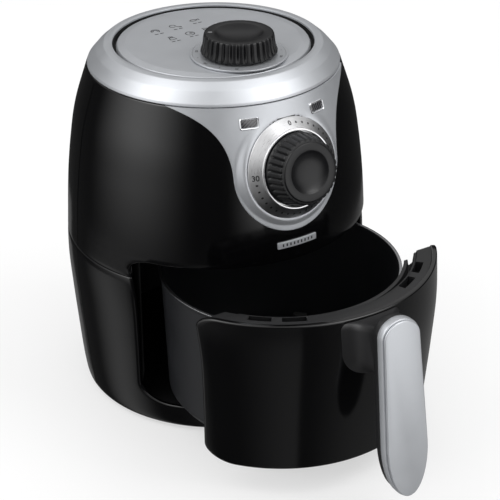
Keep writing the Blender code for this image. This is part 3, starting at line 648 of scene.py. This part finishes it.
def build_top():
    ring = softened([
        (79.0, RING_Z), (86.2, RING_Z, 0.5), (85.4, 241.4, 2.0), (79.6, 248.2, 9.0), (74.2, 252.7, 2.2),
        (70.6, 253.0, 0.5), (68.4, 252.8, 0.3), (68.4, 246.6, 0.2), (62.0, 246.6), (62.0, 245.0),
        (70.0, 245.0),
    ], 6)
    piece("top_ring_shell", lathe(ring, 180), SILVER, "root", stands_for=["top_ring"])
    lid = softened([
        (0, LID_Z), (59.5, LID_Z, 5.0), (65.0, 251.6, 1.0), (66.0, 249.6, 0.4), (66.0, 247.0),
        (64.2, 247.0), (63.4, 249.4), (58.0, LID_Z - 1.8), (0, LID_Z - 1.8),
    ], 6)
    piece("lid_plate", lathe(lid, 180), SILVER, "root", stands_for=["top_lid"])
    # A thin near-black lining in the gap between lid and ring: painted shade, a dark sheet where the gap is in
    # shadow.
    gap_shade = softened([
        (64.4, 246.7), (68.3, 246.7), (68.3, 251.6, 0.1), (68.1, 251.6, 0.1), (67.6, 248.4, 0.5),
        (66.4, 248.4, 0.2), (66.4, 246.9), (64.4, 246.9),
    ], 2)
    piece("lid_gap_shade_lining", lathe(gap_shade, 180), SHADE_BLACK, "root")


def build_front_panel():
    panel = front_piece(panel_chain, 1.0, 0.0, 3.0, 90)
    piece("drawer_front", panel, GLOSS_BLACK, "drawer", DRAWER, ["front_panel"],
          sharp=50)


# Timer and its dial

def cone_place(angle, upright):
    """A frame on the timer dial's cone at an angle, facing out of it."""
    run = DIAL_RADIUS - DIAL_LIP_RADIUS - 1.5
    rise = DIAL_LIP_HEIGHT - 2.0
    slope = math.atan2(rise, run)
    reach = DIAL_RADIUS - run / 2
    lean = math.sin(slope)
    middle = Vector((reach * math.cos(angle), reach * math.sin(angle), 1.1 + rise / 2))
    normal = Vector((lean * math.cos(angle), lean * math.sin(angle), math.cos(slope)))
    right = upright.cross(normal).normalized()
    up = normal.cross(right)
    made = Matrix((right, up, normal)).transposed().to_4x4()
    made.translation = middle + normal * 0.07
    return made


def digits(text, height, place):
    """Printed digits as a flat mesh in millimetres."""
    curve = bpy.data.curves.new("digits", "FONT")
    curve.body = text
    curve.size = height
    curve.offset = height * 0.02
    curve.align_x = "CENTER"
    curve.align_y = "CENTER"
    holder = bpy.data.objects.new("digits", curve)
    bpy.context.scene.collection.objects.link(holder)
    graph = bpy.context.evaluated_depsgraph_get()
    graph.update()
    bm = bmesh.new()
    bm.from_mesh(bpy.data.meshes.new_from_object(holder.evaluated_get(graph)))
    bpy.data.objects.remove(holder, do_unlink=True)
    bm.transform(place)
    return bm


def patch(outline, place):
    """A printed mark: one flat shape without thickness."""
    bm = bmesh.new()
    bm.faces.new([bm.verts.new((x, y, 0.0)) for x, y in outline])
    bm.transform(place)
    return bm


def build_timer_dial():
    lip = DIAL_LIP_RADIUS
    ring = softened([
        (4.6, 0.3), (DIAL_RADIUS, 0.3, 0.1), (DIAL_RADIUS, 1.1, 0.35),
        (lip + 1.5, DIAL_LIP_HEIGHT - 0.9, 0.15), (lip + 1.3, DIAL_LIP_HEIGHT - 0.2, 0.3),
        (lip + 0.9, DIAL_LIP_HEIGHT, 0.2), (lip, DIAL_LIP_HEIGHT, 0.25), (lip, 1.8), (4.6, 1.8),
    ], 4)
    piece("timer_dial_ring", lathe(ring, 180), ALUMINIUM, "root", TIMER,
          ["timer_dial"])
    marks = []
    for minute in range(1, TIMER_MINUTES):
        angle = math.radians(90 - TIMER_DEG_PER_MINUTE * minute)
        outward = Vector((math.cos(angle), math.sin(angle), 0))
        marks.append(patch(rounded_box(1.2, 1.7, 0.5, 3), cone_place(angle, outward)))
    up = Vector((0, 1, 0))
    marks.append(digits("0", 4.6, cone_place(math.radians(90), up)))
    marks.append(digits(str(TIMER_MINUTES), 5.2, cone_place(math.radians(180), up)))
    piece("timer_scale", merged(*marks), PRINT, "root", TIMER)


def knob(rows, samples=10):
    """A fluted knob from rows of (radius, height, flute depth)."""
    count = KNOB_RIBS * samples
    rings = []
    for radius, z, flute in rows:
        ring = []
        for k in range(count):
            a = 2 * math.pi * k / count
            groove = max(0.0, math.cos(KNOB_RIBS * a)) ** 1.6
            r = radius - flute * groove
            ring.append((r * math.cos(a), r * math.sin(a), z))
        rings.append(ring)
    return loft(rings)


def build_timer_knob():
    rows = [
        (4.2, 2.6, 0), (23.6, 2.6, 0), (24.1, 2.8, 0), (24.3, 3.2, 0), (24.3, 8.4, 0), (24.1, 8.9, 0.1),
        (23.8, 9.3, 0.4), (23.6, 9.9, 0.9), (23.3, 11.0, 1.3), (21.7, 19.8, 1.3), (21.5, 20.5, 1.2),
        (21.2, 20.95, 0.9), (20.9, 21.1, 0.6), (19.9, 21.2, 0), (19.6, 21.3, 0), (19.4, 21.7, 0),
        (19.1, 22.1, 0), (18.7, 22.2, 0), (14.5, 22.2, 0), (14.0, 22.05, 0), (13.4, 21.5, 0),
        (11.8, 20.6, 0), (9.6, 19.8, 0), (7.2, 19.4, 0), (4.0, 19.1, 0), (1.0, 19.0, 0),
    ]
    piece("timer_knob_cap", knob(rows), KNOB_BLACK, "timer_control", TIMER,
          ["timer_knob"], sharp=40)


def build_temperature_knob():
    rows = [
        (4.2, 0.0, 0), (24.8, 0.0, 0.2), (25.4, 0.2, 0.4), (25.6, 0.7, 0.6), (25.4, 1.6, 0.8),
        (24.8, 3.0, 1.1),
        (24.3, 4.6, 1.3), (23.9, 7.0, 1.3), (23.5, 10.6, 1.2), (23.2, 12.0, 0.9), (22.8, 12.8, 0.5),
        (22.2, 13.15, 0.15), (21.6, 13.2, 0), (16.6, 13.2, 0), (16.1, 13.05, 0), (15.4, 12.6, 0),
        (13.6, 11.7, 0), (11.2, 10.9, 0), (8.0, 10.3, 0), (4.5, 10.0, 0), (1.0, 9.9, 0),
    ]
    piece("temperature_knob_cap", knob(rows), KNOB_BLACK, "temperature_control",
          TEMPERATURE, ["temperature_knob"], sharp=40)
    angle = math.radians(POINTER_DEG)
    spot = Matrix.Translation((POINTER_RADIUS * math.cos(angle), POINTER_RADIUS * math.sin(angle), 13.24))
    mark = patch(rounded_box(3.0, 1.0, 0.4, 3), spot @ Matrix.Rotation(angle, 4, "Z"))
    piece("temperature_pointer", mark, PALE_PRINT, "temperature_control", TEMPERATURE)


def build_temperature_dial():
    low = LID_Z + 0.3
    z = low - TEMPERATURE.translation.z / MM
    profile = softened([
        (4.6, z), (32.4, z, 0.1), (32.4, z + 1.15, 0.35), (31.2, z + 1.2, 0.3), (30.8, z + 0.9, 0.2),
        (4.6, z + 0.9),
    ], 4)
    piece("temperature_dial_plate", lathe(profile, 144), SILVER, "root", TEMPERATURE,
          ["temperature_dial"])
    marks = []
    top = z + 0.94
    for k in range(TEMPERATURE_MARKS):
        angle = math.radians(TEMPERATURE_START_DEG - k * TEMPERATURE_SWEEP_DEG / (TEMPERATURE_MARKS - 1))
        turn = Matrix.Rotation(angle, 4, "Z")
        spot = turn @ Matrix.Translation((TEMPERATURE_SCALE_RADIUS, 0, top))
        if k % 2:
            marks.append(patch(rounded_box(1.0, 0.5, 0.2, 2), spot))
        else:
            upright = spot @ Matrix.Rotation(-math.pi / 2, 4, "Z")
            marks.append(digits(str(80 + 10 * k), 2.4, upright))
    piece("temperature_scale", merged(*marks), PRINT, "root", TEMPERATURE)


# Lid pictograms: plain food shapes, invented for this part

def stroke(points, width):
    """A printed line of constant width through points."""
    bm = bmesh.new()
    rows = []
    for i, point in enumerate(points):
        here = Vector(point)
        ahead = Vector(points[min(i + 1, len(points) - 1)]) - Vector(points[max(i - 1, 0)])
        side = Vector((-ahead.y, ahead.x)).normalized() * width / 2
        rows.append([(*(here + side), 0.0), (*(here - side), 0.0)])
    skin(bm, rows, closed=False)
    return bm


def pictogram(kind):
    lines = {
        "chips": [[(-2, -2), (-1.4, 1), (1.4, 1), (2, -2), (-2, -2)], [(-0.8, 1), (-1.1, 3)],
                  [(0, 1), (0.2, 3.2)], [(0.9, 1), (1.3, 2.8)]],
        "steak": [arc(0, 0, 2.6, 20, 380, 16), arc(0.8, 0.3, 0.7, 0, 360, 8)],
        "fish": [arc(0, -1.6, 2.8, 35, 145, 8), arc(0, 1.6, 2.8, -145, -35, 8),
                 [(2.3, 0), (3.5, 1.1), (3.5, -1.1), (2.3, 0)]],
        "prawn": [arc(0, 0, 2.4, -60, 200, 14), arc(0, 0, 1.3, -40, 190, 10)],
        "leg": [arc(-0.8, 0.6, 1.8, -20, 300, 12), [(0.6, -0.6), (2.6, -2.2)],
                arc(2.9, -2.4, 0.5, 0, 360, 6)],
        "cake": [[(-2.6, -1.8), (2.6, -1.8), (2.6, 0), (-2.6, 1.6), (-2.6, -1.8)],
                 [(-2.6, 0), (2.6, -0.9)]],
    }[kind]
    return [stroke(points, 0.6) for points in lines]


def build_pictograms():
    spots = (
        ("prawn", -24.9, 33.3), ("leg", -9.2, 34.6), ("fish", 7.8, 37.7),
        ("chips", -21.8, 15.4), ("steak", -6.8, 17.0), ("cake", 7.9, 19.0),
    )
    marks = []
    for kind, x, y in spots:
        place = Matrix.Translation((x - 0.6, y + 1.6, LID_Z + 0.05)) @ Matrix.Scale(1.2, 4)
        for bm in pictogram(kind):
            bm.transform(place)
            marks.append(bm)
        for offset in (-1.7, 1.7):
            dash = patch(rounded_box(2.4, 0.8, 0.3, 2), place @ Matrix.Translation((offset, -4.8, 0)))
            marks.append(dash)
    piece("lid_pictograms", merged(*marks), PRINT, "root")


# Small trim on the front

def window_place(side):
    z = WINDOW_Z
    slope = (body_radius(z + 4) - body_radius(z - 4)) / 8
    tilt = math.pi / 2 + math.atan(slope)
    spot = Matrix.Translation((0, -body_radius(z) * MM, z * MM)) @ Matrix.Rotation(tilt, 4, "X")
    return BODY @ Matrix.Rotation(math.radians(side * WINDOW_ANGLE_DEG), 4, "Z") @ spot


def at_height(outline, z):
    return [(x, y, z) for x, y in outline]


def build_windows():
    for side, word in ((-1, "left"), (1, "right")):
        rings = []
        for grow, z, corner in ((2.3, -1.0, 1.5), (2.3, 0.5, 1.5), (2.0, 0.9, 1.4), (1.2, 1.15, 1.1),
                                (0.5, 1.0, 0.8), (0.0, 0.7, 0.6), (-0.2, -0.8, 0.5)):
            outline = rounded_box(WINDOW_WIDTH + grow, WINDOW_HEIGHT + grow, corner)
            rings.append(at_height(outline, z))
        piece(f"window_frame_{word}", loft(rings, loop=True), CHROME, "root",
              window_place(side), [f"indicator_bezel_{word}"], sharp=40)
        lens = [at_height(rounded_box(width, height, corner), z) for width, height, corner, z in
                ((10.4, 5.0, 0.6, -1.0), (10.4, 5.0, 0.6, 0.35), (9.8, 4.4, 0.5, 0.5))]
        piece(f"window_lens_{word}", loft(lens), LENS, "root", window_place(side),
              [f"indicator_lens_{word}"], sharp=40)


def badge_chain(inset):
    half, low, high = 15.0 - inset, 142.7 + inset, 147.3 - inset
    return [(half - 0.6, low), (half - 0.17, low + 0.17), (half, low + 0.6), (half, high - 0.6),
            (half - 0.17, high - 0.17), (half - 0.6, high)]


def build_badge():
    """A nameplate with a row of plain studs where a name would be."""
    plate = front_piece(badge_chain, 0.25, 1.1, -0.2, 40)
    piece("badge_face", plate, SILVER, "root", stands_for=["badge_plate"], sharp=40)
    marks = []
    corners = ((-0.55, -1.0), (0.55, -1.0), (0.55, 1.0), (-0.55, 1.0))
    for x in spaced(-11.0, 11.0, BADGE_STUDS):
        square = [on_body(x + u, BADGE_Z + v, -1.14) for u, v in corners]
        bm = bmesh.new()
        bm.faces.new([bm.verts.new(p) for p in square])
        marks.append(bm)
    piece("badge_studs", merged(*marks), PRINT, "root")


# Drawer

def build_pan():
    profile = softened([
        (0, 21.6), (72.0, 21.6, 6.0), (77.6, 29.6, 5.0), (81.0, 115.4, 0.6), (82.2, 116.6, 0.5),
        (82.2, 118.1, 0.5), (79.8, 118.1, 0.5), (76.3, 30.2, 5.0), (70.6, 22.9, 5.0), (0, 22.9),
    ], 6)
    piece("pan_body", lathe(profile, 180), NON_STICK, "drawer", DRAWER, ["pan"])
    edge = softened([(80.4, 117.9), (82.3, 117.9, 0.2), (82.3, 118.25, 0.15), (80.4, 118.25)], 2)
    piece("pan_rim_edge", lathe(edge, 180), RIM_METAL, "drawer", DRAWER)


def build_plate():
    profile = softened([
        (0, 33.0), (72.4, 33.0, 0.3), (73.0, 33.6, 0.3), (73.0, 34.1, 0.3), (72.0, 34.5, 0.3), (0, 34.5),
    ], 3)
    plate = lathe(profile, 144)
    holes = []
    for ring, radius in enumerate((0.0, 15.0, 30.0, 45.0, PLATE_OUTER_HOLES_RADIUS)):
        count = max(1, 6 * ring)
        for k in range(count):
            a = 2 * math.pi * k / count
            past_bumper = (math.degrees(a) - 45) % 90
            near_bumper = min(past_bumper, 90 - past_bumper) < BUMPER_CLEARANCE_DEG
            if radius == PLATE_OUTER_HOLES_RADIUS and near_bumper:
                continue
            outline = arc(radius * math.cos(a), radius * math.sin(a), PLATE_HOLE_RADIUS, 0, 360, 20)[:-1]
            holes.append(prism(outline, 30, 38))
    plate = boolean(plate, merged(*holes), "DIFFERENCE")
    piece("crisper_plate_disc", plate, NON_STICK, "tray", DRAWER, ["crisper_plate"])


def build_ledge():
    """The ledge between pan and front: low inner wall, groove, thin rib and deep vent pockets."""
    top = LEDGE_TOP_Z
    outer = body_radius(top) - 3.3
    profile = softened([
        (83.0, 98.0), (85.2, 98.0), (85.2, 117.0), (90.0, 119.5), (90.0, 122.0), (outer - 0.4, 122.0),
        (outer, top, 0.5), (91.2, top, 0.4), (91.0, top - 1.2, 0.3), (89.4, top - 1.2, 0.5),
        (88.6, 122.6, 0.6), (86.2, 121.0, 0.6), (85.4, 126.0, 0.6), (83.0, 126.0, 0.6),
    ], 4)
    ledge = lathe(profile, 180)
    front_part = prism([(-120, -130), (120, -130), (120, -52), (-120, -52)], 80, 140)
    ledge = boolean(ledge, front_part, "INTERSECT")
    slots = []
    for side in (-1, 1):
        for low, high in ((23.0, 32.5), (36.5, 45.5)):
            inside = arc(0, 0, 91.3, low - 90, high - 90, 6)
            outside = arc(0, 0, 96.5, low - 90, high - 90, 6)
            outline = [(side * x, y) for x, y in outside + inside[::-1]]
            slots.append(prism(outline, LEDGE_POCKET_FLOOR_Z, 134))
    ledge = boolean(ledge, merged(*slots), "DIFFERENCE")
    piece("drawer_ledge", ledge, SATIN_BLACK, "drawer", DRAWER, ["pan_bracket"])


def handle_reach(z):
    return HANDLE_TOP_REACH + (HANDLE_TOP_Z - z) * HANDLE_LEAN


def handle_ring(inset, depth, steps=40):
    """The handle's outline set back by a depth: round top, longer elliptical foot."""
    top = HANDLE_TOP_Z - inset
    low = HANDLE_LOW_Z + inset
    top_centre = HANDLE_TOP_Z - 11.7
    low_centre = HANDLE_LOW_Z + 35.0
    turns = [(math.cos(a), math.sin(a)) for a in spaced(0, math.pi, steps)]
    half = HANDLE_TOP_HALF_WIDTH - inset
    outline = [(half * c, top_centre + (top - top_centre) * s) for c, s in turns]
    half = HANDLE_LOW_HALF_WIDTH - inset
    outline += [(-half * c, low_centre - (low_centre - low) * s) for c, s in turns]
    return [(x, -handle_reach(z) + depth, z) for x, z in outline]


def build_handle():
    section = (
        (1.5, 0.0), (1.1, 0.1), (0.8, 0.4), (0.7, 0.8), (0.8, 1.0), (1.5, 1.1), (1.5, 1.8), (0.5, 1.9),
        (0.25, 2.1), (0.1, 2.6), (0.0, 3.6), (0.0, 5.5), (0.1, 6.9), (0.4, 7.6), (0.9, 8.0),
    )
    rows = [handle_ring(inset, depth) for inset, depth in section]
    piece("handle_cover_shell", loft(rows), SILVER, "drawer", DRAWER, ["handle_cover"])
    back = ((0.8, 8.3), (0.8, 12.0), (1.4, 13.2), (2.6, 13.9), (4.0, 14.0))
    grip = loft([handle_ring(inset, depth) for inset, depth in back])
    body = boolean(grip, handle_arm(), "UNION")
    body = boolean(body, barrel(0.3), "DIFFERENCE")
    piece("handle_grip", body, SATIN_BLACK, "drawer", DRAWER, ["handle_body"], 35)


def barrel(outset):
    """The housing's own round shape at the height of the arm."""
    heights = spaced(80, 135, 24)
    rim = [(body_radius(z) + outset, z) for z in heights]
    return lathe([(0, 80)] + rim + [(0, 135)], 180, closed_profile=False)


def handle_arm():
    """The arm flares where it meets the panel and is round underneath."""
    stations = ((98.0, 27.0, 86.0, 129.6), (101.5, 23.9, 87.2, 129.9), (104.6, 21.3, 88.6, 130.2),
                (106.4, 18.8, 89.8, 130.6), (108.3, 16.9, 91.1, 131.0), (110.5, 15.4, 92.5, 131.4),
                (113.0, 14.4, 94.0, 132.0), (118.0, 13.6, 95.4, 133.4), (126.0, 13.2, 97.0, 136.0))
    rings = []
    for reach, half, low, top in stations:
        under = spaced(math.pi, 2 * math.pi, 20)
        section = [(half * math.cos(a), low + half + half * math.sin(a)) for a in under]
        section += arc(half - 5, top - 5, 5, 0, 90, 6)
        section += arc(5 - half, top - 5, 5, 90, 180, 6)
        rings.append([(x, -reach, z) for x, z in section])
    return loft(rings)


# Back

def build_grille():
    heights = spaced(146, 200, 12)
    outer = [(body_radius(z), z) for z in heights]
    inner = [(body_radius(z) - WALL, z) for z in reversed(heights)]
    outline = grille_outline(62.4, 44.4, 4.2)
    grille = boolean(lathe(outer + inner, 180), prism(outline, 70, 130, facing_front), "INTERSECT")
    slots = []
    for i in range(GRILLE_SLOTS):
        slot = [(x, z + GRILLE_LOW_SLOT_Z + GRILLE_SLOT_PITCH * i) for x, z in rounded_box(52, 4, 1.9)]
        slots.append(prism(slot, 70, 130, facing_front))
    grille = boolean(grille, merged(*slots), "DIFFERENCE")
    piece("rear_grille_panel", grille, SATIN_BLACK, "root",
          stands_for=["rear_vent_grille"])


# CAD nodes that keep their own shape

def dress_cad_nodes():
    finishes = {
        "satin_black_plastic": SATIN_BLACK, "knob_plastic": KNOB_BLACK, "silver_paint": SILVER,
        "gloss_black_plastic": GLOSS_BLACK, "brushed_aluminium": ALUMINIUM, "bright_trim": CHROME,
        "smoked_lens": LENS, "non_stick_coating": NON_STICK, "sheet_steel": STEEL, "rubber": RUBBER,
        "phenolic": PHENOLIC,
    }
    for part in frame["record"]["subparts"]:
        node = frame["nodes"][part["node"]]
        node.data.materials.clear()
        node.data.materials.append(finishes[part["material_slot"]])
    frame["nodes"]["heating_element"].data.materials[0] = HEATER_STEEL
    # The cavity liner gets the near-black shade colour in place of sheet steel: painted shade for the dark inside
    # of the housing.
    frame["nodes"]["cavity_liner"].data.materials[0] = SHADE_BLACK


# Stage, light and camera

def area_light(name, location, target, watts):
    light = bpy.data.lights.new(name, "AREA")
    light.shape = "RECTANGLE"
    light.size = light.size_y = SOFTBOX_SIZE
    light.energy = watts
    obj = bpy.data.objects.new(name, light)
    obj.location = location
    obj.rotation_euler = (target - location).to_track_quat("-Z", "Y").to_euler()
    bpy.context.scene.collection.objects.link(obj)


def build_stage():
    bm = bmesh.new()
    bmesh.ops.create_grid(bm, x_segments=2, y_segments=2, size=FLOOR_HALF_WIDTH)
    mesh = bpy.data.meshes.new("floor")
    bm.to_mesh(mesh)
    bm.free()
    floor = bpy.data.objects.new("floor", mesh)
    bpy.context.scene.collection.objects.link(floor)
    material = bpy.data.materials.new("floor_paper")
    material.use_nodes = True
    shader = material.node_tree.nodes["Principled BSDF"]
    shader.inputs["Base Color"].default_value = (FLOOR_BASE, FLOOR_BASE, FLOOR_BASE, 1.0)
    shader.inputs["Emission Color"].default_value = (1.0, 1.0, 1.0, 1.0)
    shader.inputs["Emission Strength"].default_value = FLOOR_GLOW
    shader.inputs["Roughness"].default_value = 0.9
    shader.inputs["Specular IOR Level"].default_value = 0.0
    mesh.materials.append(material)
    floor.location.z = -FLOOR_DROP_MM * MM
    floor.visible_glossy = False


def gloss_room(n):
    """What only glossy rays see, by direction: a dark room with a few soft panels. The low panels stand
    for the floor, which reflections don't show."""
    place = n.add("ShaderNodeTexCoord").outputs["Generated"]
    split = n.add("ShaderNodeSeparateXYZ", {"Vector": place})
    height = split.outputs["Z"]
    bearing = n.math("ARCTAN2", split.outputs["X"], n.math("MULTIPLY", split.outputs["Y"], -1.0))

    def ramp(source, low, high, start=0.0, end=1.0, smooth=True):
        node = n.add("ShaderNodeMapRange", {"Value": source})
        node.interpolation_type = "SMOOTHSTEP" if smooth else "LINEAR"
        for socket, value in (("From Min", low), ("From Max", high), ("To Min", start), ("To Max", end)):
            node.inputs[socket].default_value = value
        return node.outputs[0]

    def panel(centre_deg, spread_deg, rise):
        away = n.math("ABSOLUTE", n.math("SUBTRACT", bearing, math.radians(centre_deg)), 0.0)
        return n.math("MULTIPLY", ramp(away, 0.0, math.radians(spread_deg), 1.0, 0.0), rise)

    low = n.math("LESS_THAN", height, -0.42)
    side = panel(-94, 50, ramp(height, -0.45, 0.09, 0.1, 1.8, smooth=False))
    side = n.math("MULTIPLY", side, n.math("SUBTRACT", 1.0, low))
    foot = panel(-120, 34, n.math("MULTIPLY", low, 0.45))
    front = panel(22, 46, ramp(height, -0.40, -0.24, 0.0, 2.0))
    strip = n.math("MULTIPLY", ramp(bearing, -1.25, -0.33, 0.0, 0.2), n.math("LESS_THAN", bearing, -0.31))
    strip = n.math("MULTIPLY", strip, low)
    right = n.math("MULTIPLY", ramp(bearing, -0.3, 0.6, 0.0, 0.16), low)
    sky = ramp(height, 0.30, 0.50, 0.0, 0.62)
    total = ROOM_STRENGTH
    for part in (side, foot, front, strip, right, sky):
        total = n.math("ADD", part, total)
    return total


def build_light():
    """A world that camera, glossy and other rays see differently, and two softboxes."""
    world = bpy.data.worlds.new("studio")
    bpy.context.scene.world = world
    world.use_nodes = True
    n = Nodes(world.node_tree)
    background = world.node_tree.nodes["Background"]
    ray = n.add("ShaderNodeLightPath")
    strength = n.add("ShaderNodeMix", {"Factor": ray.outputs["Is Glossy Ray"]}, data_type="FLOAT")
    strength.inputs["A"].default_value = AMBIENT_STRENGTH
    n.tree.links.new(gloss_room(n), strength.inputs["B"])
    white = n.add("ShaderNodeMix", {"Factor": ray.outputs["Is Camera Ray"]}, data_type="FLOAT")
    n.tree.links.new(strength.outputs["Result"], white.inputs["A"])
    white.inputs["B"].default_value = BACKDROP_STRENGTH
    n.tree.links.new(white.outputs["Result"], background.inputs["Strength"])
    background.inputs["Color"].default_value = (1.0, 1.0, 1.0, 1.0)
    centre = Vector((0, BODY.translation.y, SOFTBOX_AIM_Z))
    for name, bearing_deg, rise_deg, watts in SOFTBOXES:
        bearing, rise = math.radians(bearing_deg), math.radians(rise_deg)
        level = math.cos(rise)
        away = Vector((math.sin(bearing) * level, -math.cos(bearing) * level, math.sin(rise)))
        area_light(name, centre + away * SOFTBOX_DISTANCE, centre, watts)
    bpy.context.scene.view_settings.view_transform = "Standard"


def build_camera():
    azimuth = math.radians(CAMERA_AZIMUTH_DEG)
    elevation = math.radians(CAMERA_ELEVATION_DEG)
    roll = math.radians(CAMERA_ROLL_DEG)
    back = Vector((math.sin(azimuth) * math.cos(elevation), -math.cos(azimuth) * math.cos(elevation),
                   math.sin(elevation)))
    across = Vector((math.cos(azimuth), math.sin(azimuth), 0))
    up = back.cross(across)
    right = across * math.cos(roll) + up * math.sin(roll)
    top = up * math.cos(roll) - across * math.sin(roll)
    aim = Vector((0, BODY.translation.y, CAMERA_AIM_Z))
    location = aim + back * CAMERA_DISTANCE + right * CAMERA_RIGHT - top * CAMERA_DOWN
    camera = bpy.data.cameras.new("camera")
    camera.sensor_width = CAMERA_SENSOR_MM
    camera.lens = CAMERA_LENS_MM
    camera.clip_start = 0.01
    obj = bpy.data.objects.new("camera", camera)
    turn = Matrix((right, top, back)).transposed().to_4x4()
    obj.matrix_world = Matrix.Translation(location) @ turn
    bpy.context.scene.collection.objects.link(obj)
    bpy.context.scene.camera = obj


build_camera()
dress_cad_nodes()
build_housing()
build_control_panel()
build_top()
build_front_panel()
build_timer_dial()
build_timer_knob()
build_temperature_knob()
build_temperature_dial()
build_pictograms()
build_windows()
build_badge()
build_pan()
build_plate()
build_ledge()
build_handle()
build_grille()
build_stage()
build_light()
